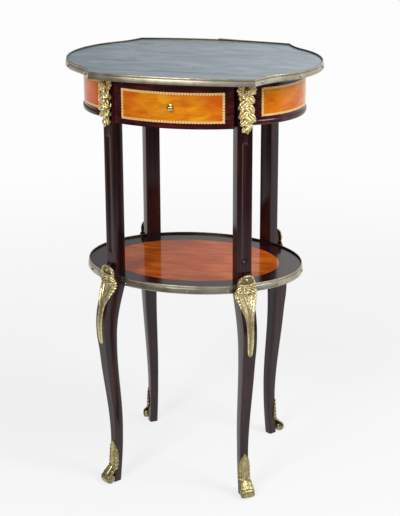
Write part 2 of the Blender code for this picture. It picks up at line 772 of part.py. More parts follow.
def front_rail(name, bottom, top, legs):
    """A rail behind the drawer front, bowed to it and fitted to the posts and the end rails."""
    radius = LONG_INNER_RADIUS - DRAWER_CLEARANCE
    nose = math.asin((POST_INNER_X - NOSE_MARGIN) / radius)
    outline = arc((0.0, -LONG_CENTRE[1]), radius, -math.pi / 2 - nose, -math.pi / 2 + nose)
    outline += [(outline[-1][0], FRONT_RAIL_FRONT), (LEG_X, -POST_INNER_Y), (LEG_X, FRONT_RAIL_REAR),
                (-LEG_X, FRONT_RAIL_REAR), (-LEG_X, -POST_INNER_Y), (outline[0][0], FRONT_RAIL_FRONT)]
    rail = add_part(name, plate(name, outline, bottom, top), OAK)
    for corner, sign in (("front_left", -1), ("front_right", 1)):
        cut(rail, post_cutter(name + "_" + corner, corner, bottom - GAP, top + GAP))
        cut(rail, end_rail_cutter(name + "_end_" + corner, sign))
        span = (bottom + STUB_MARGIN, top - STUB_MARGIN)
        combine(rail, stub_tenon(name + "_stub_" + corner, sign, *span, 0.0), "UNION")
        cut(legs[corner], stub_tenon(name + "_socket_" + corner, sign, *span, GAP))
    return rail


def bearer_cutter():
    """The back rail's inner face and all behind it, for the ends of the bearers that butt against it."""
    half = math.pi / 2 - angle_at(LONG_CENTRE, (LEG_X, LEG_Y))
    outline = band_outline(LONG_CENTRE, LONG_RADIUS, LONG_THICKNESS + GAP, half, math.pi / 2)
    return add_cutter("bearer_end", plate("bearer_end", outline, FRIEZE_BOTTOM - GAP, TABLE_HEIGHT))


def bearer(name, sign, section):
    """A bar from the front rail to the back rail; its section is (outward, up) points."""
    mesh = plate(name, section, FRONT_RAIL_REAR + GAP, FRIEZE_HALF_DEPTH - LONG_THICKNESS)
    mesh.transform(Matrix(((sign, 0, 0, 0), (0, 0, 1, 0), (0, 1, 0, 0), (0, 0, 0, 1))))
    weld(mesh)
    return add_part(name, mesh, OAK)


def build_bearers():
    """Runners under the drawer's sides, kickers over them, and the places of the kickers' screws."""
    inner = BOX_HALF_WIDTH - DRAWER_SIDE_THICKNESS
    guide = BOX_HALF_WIDTH + DRAWER_CLEARANCE
    outer = guide + GUIDE_THICKNESS
    runner = [(inner, FRIEZE_BOTTOM), (outer, FRIEZE_BOTTOM), (outer, LOWER_RAIL_TOP + GUIDE_HEIGHT),
              (guide, LOWER_RAIL_TOP + GUIDE_HEIGHT), (guide, LOWER_RAIL_TOP), (inner, LOWER_RAIL_TOP)]
    kicker = [(inner, UPPER_RAIL_BOTTOM), (outer, UPPER_RAIL_BOTTOM),
              (outer, FRIEZE_TOP), (inner, FRIEZE_TOP)]
    end = bearer_cutter()
    hole = turned("screw_hole", screw_profile(GAP), SCREW_SIDES)
    screw = turned("top_screw", screw_profile(0.0), SCREW_SIDES)
    holes = []
    for side, sign in (("left", -1), ("right", 1)):
        post = post_cutter("bearer_" + side, "back_" + side, FRIEZE_BOTTOM - GAP, TABLE_HEIGHT)
        bar = bearer("kicker_" + side, sign, kicker)
        for piece in (bearer("runner_" + side, sign, runner), bar):
            cut(piece, end)
            cut(piece, post)
        for depth, y in (("front", -SCREW_Y), ("back", SCREW_Y)):
            place = Matrix.Translation((sign * (inner + outer) / 2, y, 0))
            name = "top_screw_%s_%s" % (depth, side)
            add_part(name, screw, STEEL).matrix_world = place
            holes.append(add_cutter(name + "_hole", hole))
            holes[-1].matrix_world = place
            cut(bar, holes[-1])
    return holes


def screw_profile(grow):
    """A wood screw from its tip in the board down to its head, let into the kicker."""
    head = UPPER_RAIL_BOTTOM + GAP
    shoulder = head + SCREW_HEAD_HEIGHT + grow
    tip = TOP_BOTTOM + SCREW_BITE + grow
    below = head - 2 * grow
    return [(0, tip), (SCREW_RADIUS + grow, tip), (SCREW_RADIUS + grow, shoulder),
            (SCREW_HEAD_RADIUS + grow, shoulder), (SCREW_HEAD_RADIUS + grow, below), (0, below)]


# Drawer

def drawer_side(sign, grow):
    inner = BOX_HALF_WIDTH - DRAWER_SIDE_THICKNESS
    front = -LONG_CENTRE[1] - math.sqrt(LONG_INNER_RADIUS ** 2 - inner ** 2)
    xs = sorted((sign * (inner - grow), sign * (BOX_HALF_WIDTH + grow)))
    low = (xs[0], front - DRAWER_HOUSING - grow, BOX_BOTTOM - grow)
    high = (xs[1], BOX_REAR, BOX_TOP + grow)
    return low, high


def drawer_bottom(name, grow):
    """The drawer's bottom, let into its sides and bowed to its front."""
    half = BOX_HALF_WIDTH - DRAWER_SIDE_THICKNESS + GROOVE_DEPTH + grow
    radius = LONG_INNER_RADIUS + GROOVE_DEPTH + grow
    reach = math.asin(half / radius)
    outline = arc((0.0, -LONG_CENTRE[1]), radius, -math.pi / 2 - reach, -math.pi / 2 + reach)
    outline += [(half, BOX_REAR + grow), (-half, BOX_REAR + grow)]
    return plate(name, outline, DRAWER_FLOOR - DRAWER_BOTTOM_THICKNESS - grow, DRAWER_FLOOR + grow)


def knob_profile():
    """A turned knob with its rose and the shank that runs through the front to its nut."""
    end = FRIEZE_HALF_DEPTH + NUT_SEAT + GAP + NUT_THICKNESS + GAP
    angles = [KNOB_DOME_END * i / KNOB_DOME_STEPS for i in range(KNOB_DOME_STEPS + 1)]
    dome = [(KNOB_RADIUS * math.sin(a), KNOB_LENGTH - KNOB_RADIUS * (1 - math.cos(a))) for a in angles]
    return dome + [(KNOB_NECK_RADIUS, KNOB_ROSE_THICKNESS * 2), (KNOB_ROSE_RADIUS, KNOB_ROSE_THICKNESS),
                   (KNOB_ROSE_RADIUS, GAP), (KNOB_SHANK_RADIUS, GAP), (KNOB_SHANK_RADIUS, -end), (0, -end)]


def build_drawer():
    pieces = []
    front = add_part("drawer_front", plate("drawer_front", long_outline(-1), FRIEZE_BOTTOM + GAP,
                                           FRIEZE_TOP - DRAWER_CLEARANCE), DARK_WOOD)
    for corner in ("front_left", "front_right"):
        name = "drawer_" + corner
        room = plate(name, leg_section(corner, DRAWER_CLEARANCE), SHELF_BOTTOM, TABLE_HEIGHT)
        cut(front, add_cutter(name, room))
    half_angle = math.asin((PANEL_HALF_WIDTH + STRINGING_WIDTH) / LONG_RADIUS)
    pieces += inlay(front, "drawer", (0.0, -LONG_CENTRE[1]), LONG_RADIUS, half_angle, -math.pi / 2, PANEL_TOP)
    bottom_groove = add_cutter("bottom_groove", drawer_bottom("bottom_groove", GAP))
    for side, sign in (("left", -1), ("right", 1)):
        name = "drawer_side_" + side
        board = add_part(name, box(name, *drawer_side(sign, 0.0)), OAK)
        cut(board, bottom_groove)
        cut(front, add_cutter(name + "_housing", box(name + "_housing", *drawer_side(sign, GAP))))
        pieces.append(board)
    cut(front, bottom_groove)
    inner = BOX_HALF_WIDTH - DRAWER_SIDE_THICKNESS - GAP
    pieces.append(add_part("drawer_bottom", drawer_bottom("drawer_bottom", 0.0), OAK))
    rear_low = (-inner, BOX_REAR - DRAWER_BACK_THICKNESS, DRAWER_FLOOR + GAP)
    rear_high = (inner, BOX_REAR, BOX_TOP - DRAWER_BACK_DROP)
    pieces.append(add_part("drawer_back", box("drawer_back", rear_low, rear_high), OAK))
    pieces += build_knob(front)
    pieces.append(front)
    return pieces


def build_knob(front):
    place = facing((0, -FRIEZE_HALF_DEPTH, KNOB_HEIGHT), (0, -1, 0))
    knob = add_part("drawer_knob", turned("drawer_knob", knob_profile(), KNOB_SIDES), BRASS)
    knob.matrix_world = place
    shade_round(knob)
    reach = FRIEZE_HALF_DEPTH + DRAWER_FRONT_REAR + 2 * NUT_THICKNESS
    bore = add_cutter("knob_bore", rod("knob_bore", KNOB_SHANK_RADIUS + GAP, -reach, KNOB_LENGTH, KNOB_SIDES))
    bore.matrix_world = place
    cut(front, bore)
    cut(bpy.data.objects["drawer_panel"], bore)
    # The nut bears on the flat of a recess, because the back of the front is bowed
    depth = NUT_SEAT_DEPTH + NUT_THICKNESS
    recess = add_cutter("nut_recess", rod("nut_recess", NUT_RADIUS + NUT_SEAT_MARGIN, 0.0, depth, KNOB_SIDES))
    recess.matrix_world = facing((0, NUT_SEAT, KNOB_HEIGHT), (0, 1, 0))
    cut(front, recess)
    nut = add_part("knob_nut", rod("knob_nut", NUT_RADIUS, 0.0, NUT_THICKNESS, NUT_SIDES), BRASS)
    nut.matrix_world = facing((0, NUT_SEAT + GAP, KNOB_HEIGHT), (0, 1, 0))
    cut(nut, bore)
    return [knob, nut]


def parent_drawer(pieces):
    slide = bpy.data.objects.new("drawer_slide", None)
    slide.location = (0, DRAWER_FRONT_REAR, KNOB_HEIGHT)
    parts.objects.link(slide)
    bpy.context.view_layer.update()
    for piece in pieces:
        piece.parent = slide
        piece.matrix_parent_inverse = slide.matrix_world.inverted()


# Rims

def rim_profile(width, height):
    """A brass moulding: a rounded band, a quirk, and a lip with a bead; (outward, up) points."""
    shares = [(1, 0), (RIM_BAND_INSET, 0), (0, RIM_BAND_CROWN), (RIM_BAND_INSET, RIM_BAND_TOP),
              (RIM_QUIRK_INSET, RIM_QUIRK), (RIM_BEAD_INSET, RIM_BEAD),
              (RIM_CREST_INSET, 1), (1, RIM_INNER_EDGE)]
    return [(-inset * width, up * height) for inset, up in shares]


def extended(path):
    """The path with a straight run added at each end, to be cut off again on the mitre."""
    first = Vector(path[0])
    last = Vector(path[-1])
    before = first + (first - Vector(path[1])).normalized() * RIM_OVERRUN
    after = last + (last - Vector(path[-2])).normalized() * RIM_OVERRUN
    return [tuple(before)] + path + [tuple(after)]


def mitre(name, strip, sign_x, sign_y, keep):
    """Cuts a strip on the corner's mitre, keeping the side of a given point."""
    outer = top_corner(0.0)
    inner = top_corner(TOP_RIM_WIDTH)
    corner = Vector((sign_x * outer.x, sign_y * outer.y))
    line = corner - Vector((sign_x * inner.x, sign_y * inner.y))
    normal = Vector((-line.y, line.x)).normalized()
    if (Vector(keep) - corner).dot(normal) > 0:
        normal = -normal
    face = corner - normal * GAP / 2
    reach = 2 * RIM_OVERRUN
    block = box(name, (-reach, -reach, 0.0), (reach, reach, 2 * reach))
    block.transform(facing((*face, TOP_BOTTOM + TOP_RIM_HEIGHT / 2), (*normal, 0)))
    cut(strip, add_cutter(name, block))


def build_top_rim():
    """Brass strips round the top: two ends, the front, and the back in two lengths that butt together."""
    profile = rim_profile(TOP_RIM_WIDTH, TOP_RIM_HEIGHT)
    right = top_end(0.0)
    left = [(-x, -y) for x, y in right]
    front = [(-x, -y) for x, y in top_back(0.0, -top_corner(0.0).x)]
    back_right = top_back(0.0, BACK_STRIP_JOINT_X + GAP / 2)
    back_left = mirrored_x(top_back(0.0, -BACK_STRIP_JOINT_X + GAP / 2))
    runs = [
        ("top_rim_front", front, extended(front), [(-1, -1), (1, -1)]),
        ("top_rim_right", right, extended(right), [(1, -1), (1, 1)]),
        ("top_rim_back_right", back_right, extended(back_right)[:-1], [(1, 1)]),
        ("top_rim_back_left", back_left, extended(back_left)[1:], [(-1, 1)]),
        ("top_rim_left", left, extended(left), [(-1, 1), (-1, -1)]),
    ]
    for name, path, longer, corners in runs:
        strip = add_part(name, moulding(name, longer, profile, TOP_BOTTOM), BRASS)
        for sx, sy in corners:
            mitre("%s_mitre_%d_%d" % (name, sx, sy), strip, sx, sy, path[len(path) // 2])


def oval(half_length, half_depth, start=0.0, end=2 * math.pi):
    count = math.ceil((end - start) / ARC_STEP)
    angles = [between(i / count, start, end) for i in range(count + 1)]
    points = [(half_length * math.cos(a), half_depth * math.sin(a)) for a in angles]
    return points[:-1] if end - start >= 2 * math.pi else points


def build_shelf(legs):
    inset = SHELF_RIM_WIDTH + GAP
    outline = oval(SHELF_HALF_LENGTH - inset, SHELF_HALF_DEPTH - inset)
    board = add_part("shelf_board", plate("shelf_board", outline, SHELF_BOTTOM, SHELF_HEIGHT), DARK_WOOD)
    veneer_bottom = SHELF_HEIGHT - INLAY_THICKNESS
    field = oval(SHELF_OVAL_HALF_LENGTH, SHELF_OVAL_HALF_DEPTH)
    add_part("shelf_oval", plate("shelf_oval", field, veneer_bottom, SHELF_HEIGHT), SATINWOOD)
    sunk = oval(SHELF_OVAL_HALF_LENGTH + GAP, SHELF_OVAL_HALF_DEPTH + GAP)
    cut(board, add_cutter("shelf_recess", plate("shelf_recess", sunk, veneer_bottom - GAP,
                                                SHELF_HEIGHT + INLAY_THICKNESS)))
    post_angle = math.atan2(LEG_Y / SHELF_HALF_DEPTH, LEG_X / SHELF_HALF_LENGTH)
    spans = {
        "right": (-post_angle, post_angle, ("front_right", "back_right")),
        "back": (post_angle, math.pi - post_angle, ("back_right", "back_left")),
        "left": (math.pi - post_angle, math.pi + post_angle, ("back_left", "front_left")),
        "front": (math.pi + post_angle, 2 * math.pi - post_angle, ("front_left", "front_right")),
    }
    notches = {}
    for corner in CORNER_SIGNS:
        notches[corner] = post_cutter("shelf_notch_" + corner, corner, SHELF_BOTTOM - GAP,
                                      SHELF_HEIGHT + 2 * SHELF_LIP)
        cut(board, notches[corner])
    height = SHELF_THICKNESS + SHELF_LIP
    profile = rim_profile(SHELF_RIM_WIDTH, height)
    for side, (start, end, corners) in spans.items():
        name = "shelf_rim_" + side
        path = oval(SHELF_HALF_LENGTH, SHELF_HALF_DEPTH, start, end)
        strip = add_part(name, moulding(name, path, profile, SHELF_BOTTOM), BRASS)
        cut(strip, *[notches[corner] for corner in corners])
    peg_shelf(board, legs)


def peg_shelf(board, legs):
    """Round pegs on the shelf's notches, let into the posts' inner faces."""
    level = (SHELF_BOTTOM + SHELF_HEIGHT - INLAY_THICKNESS) / 2
    low = LEG_DEPTH / 2 - PEG_IN_LEG
    high = LEG_DEPTH / 2 + PEG_IN_SHELF
    for corner in CORNER_SIGNS:
        centre, out, _ = leg_axes(corner)
        place = facing((*centre, level), (-out.x, -out.y, 0))
        peg = add_cutter("peg_" + corner, rod("peg", PEG_RADIUS, low, high, PEG_SIDES))
        peg.matrix_world = place
        combine(board, peg, "UNION")
        hole = add_cutter("peg_hole_" + corner, rod("peg_hole", PEG_RADIUS + GAP, low - GAP, high, PEG_SIDES))
        hole.matrix_world = place
        cut(legs[corner], hole)


# Gilt mounts, in the leg's frame: X outwards, Y along the face

def upright_plate(name, outline, inner, outer):
    """An outline of (across, up) points, standing on the leg's outer face."""
    mesh = plate(name, outline, inner, outer)
    mesh.transform(Matrix(((0, 0, 1, 0), (1, 0, 0, 0), (0, 1, 0, 0), (0, 0, 0, 1))))
    return mesh


def both_sides(half):
    """A closed outline from its right half, given from bottom to top."""
    left = [(-y, z) for y, z in reversed(half)]
    return half + [point for point in left if point[0] < 0]


def place_mounts(name, mesh):
    for corner in CORNER_SIGNS:
        mount = add_part(name + "_" + corner, mesh, GILT)
        mount.matrix_world = leg_place(corner)


def build_chutes():
    """Leaf drops on the heads of the posts: a lobed outline that narrows to its tip."""
    top = FRIEZE_TOP - CHUTE_TOP_DROP
    steps = CHUTE_LOBE_STEPS * CHUTE_LOBES
    half = []
    for i in range(steps + 1):
        share = i / steps
        lobe = CHUTE_SCALLOP * abs(math.sin(math.pi * CHUTE_LOBES * share))
        across = between(math.sqrt(share), CHUTE_TIP_HALF_WIDTH, CHUTE_HALF_WIDTH) - CHUTE_SCALLOP + lobe
        half.append((across, top - CHUTE_LENGTH * (1 - share)))
    inner = LEG_DEPTH / 2 + GAP
    chute = add_cutter("chute", upright_plate("chute", both_sides(half), inner, inner + CHUTE_THICKNESS))
    bevelled(chute, MOUNT_EASE)
    place_mounts("chute", baked(chute))


def bent_to_leg(mesh):
    """Bends an upright plate to the leg's outer face; above the shelf it stands clear of the post."""
    slice_at_levels(mesh)
    for vertex in mesh.vertices:
        vertex.co.x += leg_outer(min(vertex.co.z, SHELF_HEIGHT))


def build_knee_mounts():
    """Shell-headed leaves that run from above the shelf down over the knees."""
    top = KNEE_MOUNT_TOP
    bottom = SHELF_HEIGHT - KNEE_MOUNT_DROP
    stem_top = (KNEE_HEIGHT + SHELF_BOTTOM) / 2
    half = [(0.0, bottom), (KNEE_MOUNT_STEM_HALF_WIDTH / 2, bottom + KNEE_MOUNT_STEM_HALF_WIDTH),
            (KNEE_MOUNT_STEM_HALF_WIDTH, stem_top), (KNEE_MOUNT_HALF_WIDTH, SHELF_BOTTOM)]
    half += arc((0.0, top - KNEE_MOUNT_HALF_WIDTH), KNEE_MOUNT_HALF_WIDTH, 0.0, math.pi / 2, SHELL_ARC_STEP)
    leaf = upright_plate("knee_mount", both_sides(half), GAP, GAP + KNEE_MOUNT_THICKNESS)
    bent_to_leg(leaf)
    place_mounts("knee_mount", leaf)


def build_sabots():
    """Leaf shoes on the feet, each with a scroll that stands on the floor."""
    half = [(SABOT_HALF_WIDTH, 0.0), (SABOT_HALF_WIDTH, SABOT_HEIGHT / 2), (0.0, SABOT_HEIGHT)]
    leaf = upright_plate("sabot", both_sides(half), LEAF_GAP, LEAF_GAP + SABOT_THICKNESS)
    bent_to_leg(leaf)
    shoe = add_cutter("sabot", leaf)
    scroll = rod("scroll", SCROLL_RADIUS, -SCROLL_HALF_WIDTH, SCROLL_HALF_WIDTH, SCROLL_SIDES)
    scroll.transform(Matrix.Translation((SCROLL_REACH - SCROLL_RADIUS, 0, SCROLL_RADIUS))
                     @ Matrix.Rotation(math.pi / 2, 4, "X"))
    combine(shoe, add_cutter("sabot_scroll", scroll), "UNION")
    cut(shoe, add_cutter("sabot_leg", leg_mesh(GAP, -SCROLL_RADIUS)))
    place_mounts("sabot", baked(shoe))


def build_top(screw_holes):
    inset = TOP_RIM_WIDTH + GAP
    slab_bottom = SLAB_TOP - SLAB_THICKNESS
    board = add_part("top_board", plate("top_board", top_outline(inset), TOP_BOTTOM, slab_bottom - GAP), OAK)
    add_part("top_slab", plate("top_slab", top_outline(inset), slab_bottom, SLAB_TOP), STONE)
    cut(board, *screw_holes)


def build():
    legs = build_legs()
    end_rail("side_rail_left", -1, legs)
    end_rail("side_rail_right", 1, legs)
    back_rail(legs)
    front_rail("front_rail_lower", FRIEZE_BOTTOM, LOWER_RAIL_TOP, legs)
    front_rail("front_rail_upper", UPPER_RAIL_BOTTOM, FRIEZE_TOP, legs)
    build_top(build_bearers())
    build_top_rim()
    parent_drawer(build_drawer())
    build_shelf(legs)
    build_chutes()
    build_knee_mounts()
    build_sabots()


build()
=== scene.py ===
"""Dressed model of a two-tier oval table: stone top in a brass rim, drawer, oval shelf and gilt mounts.

Metres, +Z up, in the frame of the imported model: the floor is z = 0 and the drawer faces -Y.
"""

import math

import bmesh
import bpy
import numpy as np
from mathutils import Matrix, Vector


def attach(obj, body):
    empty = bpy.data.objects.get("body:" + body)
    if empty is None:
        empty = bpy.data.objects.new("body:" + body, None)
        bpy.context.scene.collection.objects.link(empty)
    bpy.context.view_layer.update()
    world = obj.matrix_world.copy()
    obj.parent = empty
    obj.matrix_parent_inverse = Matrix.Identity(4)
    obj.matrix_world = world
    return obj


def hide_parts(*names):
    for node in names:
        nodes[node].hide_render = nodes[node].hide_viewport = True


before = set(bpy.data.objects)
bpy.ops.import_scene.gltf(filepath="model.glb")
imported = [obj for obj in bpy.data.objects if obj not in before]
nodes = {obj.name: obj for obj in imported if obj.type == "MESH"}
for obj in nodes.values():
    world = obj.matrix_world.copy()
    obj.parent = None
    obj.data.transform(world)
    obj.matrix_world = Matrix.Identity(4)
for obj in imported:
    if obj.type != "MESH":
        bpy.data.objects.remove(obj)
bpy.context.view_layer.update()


# Legs: four cabriole legs sawn and shaped from dark rosewood and set corner-wise, so that each outer face
# looks along a diagonal. They swell out under the knee mounts. A stopped flute is worked in each post, and
# the rails are tenoned into its flanks.

CORNERS = {"front_left": (-1, -1), "front_right": (1, -1), "back_left": (-1, 1), "back_right": (1, 1)}
LEG_X = 0.112
LEG_Y = 0.120
LEG_TURN = math.radians(54)
LEG_TOP = 0.7477
LEG_ARRIS = 0.0020
ANKLE, KNEE, SHOULDER = 0.092, 0.2835, 0.3803
KNEE_OUT, ANKLE_OUT, TOE_OUT = 0.0209, 0.0064, 0.0122
LEG_LEVELS = [0.0, ANKLE, KNEE, SHOULDER]
LEG_DEPTHS = [0.0155, 0.0188, 0.0268, 0.0207]
LEG_FACES = [0.0155, 0.0158, 0.0244, 0.0278]
LEG_INNER_ROUNDS = [0.0030, 0.0040, 0.0062, 0.0020]
SWELL_OUT, SWELL_AT_SHELF = 0.0105, 0.0082
SWELL_END, SWELL_FULL, SHELF_TOP, SWELL_HEAD = 0.2450, 0.3550, 0.3908, 0.4173
FLUTE_BOTTOM, FLUTE_TOP = 0.4373, 0.6467
FLUTE_HALF_WIDTH = 0.0055
FLUTE_SINK = 0.0018
WELD_DISTANCE = 0.000002


def linear(code):
    """An sRGB hex colour as linear RGBA."""
    channels = [int(code[i:i + 2], 16) / 255 for i in (1, 3, 5)]
    return tuple(c / 12.92 if c <= 0.04045 else ((c + 0.055) / 1.055) ** 2.4 for c in channels) + (1.0,)


def set_inputs(tree, node, inputs):
    """Gives each input a value, or links it from a socket or from a node's first output."""
    for key, value in inputs.items():
        if isinstance(value, bpy.types.Node):
            value = value.outputs[0]
        if isinstance(value, bpy.types.NodeSocket):
            tree.links.new(value, node.inputs[key])
        else:
            node.inputs[key].default_value = value


def add_node(tree, kind, inputs=None, stops=(), **settings):
    """Adds a node with its settings and inputs; a colour ramp has stops of (place, sRGB hex)."""
    node = tree.nodes.new(kind)
    for key, value in settings.items():
        setattr(node, key, value)
    set_inputs(tree, node, inputs or {})
    while stops and len(node.color_ramp.elements) < len(stops):
        node.color_ramp.elements.new(1.0)
    for i, (place, code) in enumerate(stops):
        node.color_ramp.elements[i].position = place
        node.color_ramp.elements[i].color = linear(code)
    return node


def new_finish(name):
    """A material with its tree, its Principled shader and the piece's own coordinates."""
    material = bpy.data.materials.new(name)
    material.use_nodes = True
    tree = material.node_tree
    place = add_node(tree, "ShaderNodeTexCoord").outputs["Object"]
    return material, tree, tree.nodes["Principled BSDF"], place


def rosewood(name, along, shade, middle, streak):
    """French polished rosewood: near black, with soft dark red streaks about 6 mm wide along one axis."""
    material, tree, shader, place = new_finish(name)
    stretch = [1 / 0.006] * 3
    stretch["XYZ".index(along)] = 1 / 0.14
    grain = add_node(tree, "ShaderNodeMapping", {"Vector": place, "Scale": stretch})
    streaks = add_node(tree, "ShaderNodeTexNoise",
                       {"Vector": grain, "Scale": 1.0, "Detail": 5.0, "Roughness": 0.62})
    colour = add_node(tree, "ShaderNodeValToRGB", {"Fac": streaks},
                      stops=[(0.30, shade), (0.52, middle), (0.74, streak)])
    polish = add_node(tree, "ShaderNodeMapRange", {"Value": streaks, "To Min": 0.10, "To Max": 0.20})
    pores = add_node(tree, "ShaderNodeBump", {"Height": streaks, "Strength": 0.05, "Distance": 0.0003})
    set_inputs(tree, shader, {"Base Color": colour, "Roughness": polish,
                              "Normal": pores, "IOR": 1.52, "Specular IOR Level": 0.42})
    return material


def add_object(name, data):
    """A new object in the scene, at the origin."""
    piece = bpy.data.objects.new(name, data)
    bpy.context.scene.collection.objects.link(piece)
    return piece


def dress(name, points, faces, material, sharp=35.0, weld=True):
    """A closed smooth-shaded mesh object with outward faces; without welding its points keep their order."""
    mesh = bpy.data.meshes.new(name)
    mesh.from_pydata([tuple(p) for p in points], [], faces)
    work = bmesh.new()
    work.from_mesh(mesh)
    if weld:
        bmesh.ops.remove_doubles(work, verts=work.verts, dist=WELD_DISTANCE)
    bmesh.ops.recalc_face_normals(work, faces=work.faces)
    work.to_mesh(mesh)
    work.free()
    mesh.shade_smooth()
    mesh.set_sharp_from_angle(angle=math.radians(sharp))
    mesh.materials.append(material)
    return add_object(name, mesh)


def fit(piece, body, slot, *replaced):
    """Hangs a finished piece on its body, in place of CAD nodes."""
    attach(piece, body)
    if replaced:
        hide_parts(*replaced)


def loft(rings):
    """Points and faces of a closed skin over rings of equal count, with both ends capped."""
    count = len(rings[0])
    points = [p for ring in rings for p in ring]
    faces = []
    for row in range(len(rings) - 1):
        for i in range(count):
            j = (i + 1) % count
            faces.append((row * count + i, row * count + j, (row + 1) * count + j, (row + 1) * count + i))
    faces.append(tuple(reversed(range(count))))
    faces.append(tuple(range((len(rings) - 1) * count, len(rings) * count)))
    return points, faces


def leg_place(corner):
    """From the leg's own frame, X outwards and Y along its face, to the table's."""
    sx, sy = CORNERS[corner]
    turn = math.atan2(sy * math.sin(LEG_TURN), sx * math.cos(LEG_TURN))
    return Matrix.Translation((sx * LEG_X, sy * LEG_Y, 0)) @ Matrix.Rotation(turn, 4, "Z")


def leg_shift(z):
    """How far the leg's middle stands out from the post's: the cabriole curve."""
    quarter = math.pi / 2
    knee = KNEE_OUT * np.sin(quarter * (SHOULDER - z) / (SHOULDER - KNEE))
    sweep = ANKLE_OUT + (KNEE_OUT - ANKLE_OUT) * (1 - np.cos(math.pi * (z - ANKLE) / (KNEE - ANKLE))) / 2
    toe = ANKLE_OUT + (TOE_OUT - ANKLE_OUT) * (1 - np.cos(quarter * (ANKLE - z) / ANKLE))
    return np.where(z > SHOULDER, 0.0, np.where(z > KNEE, knee, np.where(z > ANKLE, sweep, toe)))


def leg_swell(z):
    """How much further the outer face stands out under the knee mount than the curve alone."""
    rise = SWELL_OUT * (1 - np.cos(math.pi * np.clip((z - SWELL_END) / (SWELL_FULL - SWELL_END), 0, 1))) / 2
    fall = np.interp(z, [SWELL_FULL, SHELF_TOP, SWELL_HEAD], [SWELL_OUT, SWELL_AT_SHELF, 0.0])
    return np.where(z < SWELL_FULL, rise, fall)


def leg_outer(z):
    """The leg's outer face, in the leg's own frame."""
    return leg_shift(z) + np.interp(z, LEG_LEVELS, LEG_DEPTHS) / 2 + leg_swell(z)


def flute(across, z):
    """Depth of the round-bottomed flute, which runs out in half round ends."""
    from_end = min(z - FLUTE_BOTTOM, FLUTE_TOP - z)
    if from_end <= 0:
        return np.zeros_like(across)
    share = math.sqrt(1 - max(0.0, 1 - from_end / FLUTE_HALF_WIDTH) ** 2)
    return FLUTE_SINK * share * np.clip(1 - (across / (FLUTE_HALF_WIDTH * share)) ** 2, 0, None) ** 0.8


def leg_ring(z):
    """Section of the leg: fluted outer face, small arrises beside it and rounder inner corners."""
    half_depth = np.interp(z, LEG_LEVELS, LEG_DEPTHS) / 2
    half_face = np.interp(z, LEG_LEVELS, LEG_FACES) / 2
    inner_round = np.interp(z, LEG_LEVELS, LEG_INNER_ROUNDS)
    flat = half_face - LEG_ARRIS
    across = np.linspace(-flat, flat, 33)
    outer = half_depth + float(leg_swell(np.float64(z)))
    ring = list(zip(outer - flute(across, z), across))
    for sign_x, sign_y, start in ((1, 1, 0), (-1, 1, 90), (-1, -1, 180), (1, -1, 270)):
        radius, edge = (LEG_ARRIS, outer) if sign_x > 0 else (inner_round, half_depth)
        for angle in np.radians(np.linspace(start, start + 90, 8)):
            ring.append((sign_x * (edge - radius) + radius * math.cos(angle),
                         sign_y * (half_face - radius) + radius * math.sin(angle)))
    shift = float(leg_shift(np.float64(z)))
    return [(shift + x, y, z) for x, y in ring]


leg_levels = np.unique(np.round(np.concatenate([
    np.linspace(0, ANKLE, 26), np.linspace(ANKLE, KNEE, 64), np.linspace(KNEE, SHOULDER, 30),
    np.linspace(SHOULDER, FLUTE_BOTTOM, 8), [SHELF_TOP, SWELL_HEAD],
    FLUTE_BOTTOM + np.linspace(0, FLUTE_HALF_WIDTH, 9),
    np.linspace(FLUTE_BOTTOM + FLUTE_HALF_WIDTH, FLUTE_TOP - FLUTE_HALF_WIDTH, 14),
    FLUTE_TOP - np.linspace(FLUTE_HALF_WIDTH, 0, 9), np.linspace(FLUTE_TOP, LEG_TOP, 6)]), 6))
rosewood_upright = rosewood("french_polished_rosewood_upright", "Z", "#140607", "#290c0e", "#4c191a")
for corner in CORNERS:
    leg = dress("cabriole_leg_" + corner, *loft([leg_ring(z) for z in leg_levels]), rosewood_upright)
    leg.data.transform(leg_place(corner))
    fit(leg, "table", "dark_wood", "leg_" + corner)


# Frieze: bowed rosewood rails between the legs, sawn to the curve, with a proud bead along the lower edge of
# the two ends. Each has a recess cut in its face for the inlay.

FRIEZE_TOP = 0.7477
FRIEZE_BOTTOM = 0.6717
BEAD_HEIGHT, BEAD_PROUD = 0.0085, 0.0022
END_THICKNESS = 0.015
END_CENTRE_X, END_RADIUS = 0.0738, 0.1207
END_REACH = math.radians(66.9)
LONG_THICKNESS = 0.022
LONG_CENTRE_Y, LONG_RADIUS = 0.09666, 0.26066
LONG_REACH = math.radians(22.99)
LONG_FLARE = ((-LONG_THICKNESS, -LONG_THICKNESS / 2, 0.0), (1.0248, 1.0466, 1.0))
INLAY_THICKNESS = 0.0012
LONG_BAND, END_BAND = (0.6817, 0.7329), (0.6855, 0.7339)
PANEL_REACH, END_PANEL_REACH = math.radians(19.71), math.radians(57.0)
EASE = 0.0007


def bowed_board(centre, radius, middle, reach, section, recess=None, columns=91, flare=((0.0,), (1.0,))):
    """A board bent round a centre. Its section is (offset, height, sunk) round its edge; sunk rows step in
    over the recess, given as (reach, depth). The flare gives shares of the reach at other offsets."""
    turns = [(a, False) for a in np.linspace(-reach, reach, columns)]
    if recess:
        edge = recess[0]
        inside = [(a, True) for a in np.linspace(-edge, edge, columns)]
        turns = [t for t in turns if t[0] < -edge] + [(-edge, False)] + inside
        turns += [(edge, False)] + [(a, False) for a in np.linspace(-reach, reach, columns) if a > edge]
    rings = []
    for angle, within in turns:
        ring = []
        for offset, height, sunk in section:
            away = radius + offset - (recess[1] if sunk and within else 0.0)
            turn = middle + angle * np.interp(offset, *flare)
            ring.append((centre[0] + away * math.cos(turn), centre[1] + away * math.sin(turn), height))
        rings.append(ring)
    return loft(rings)


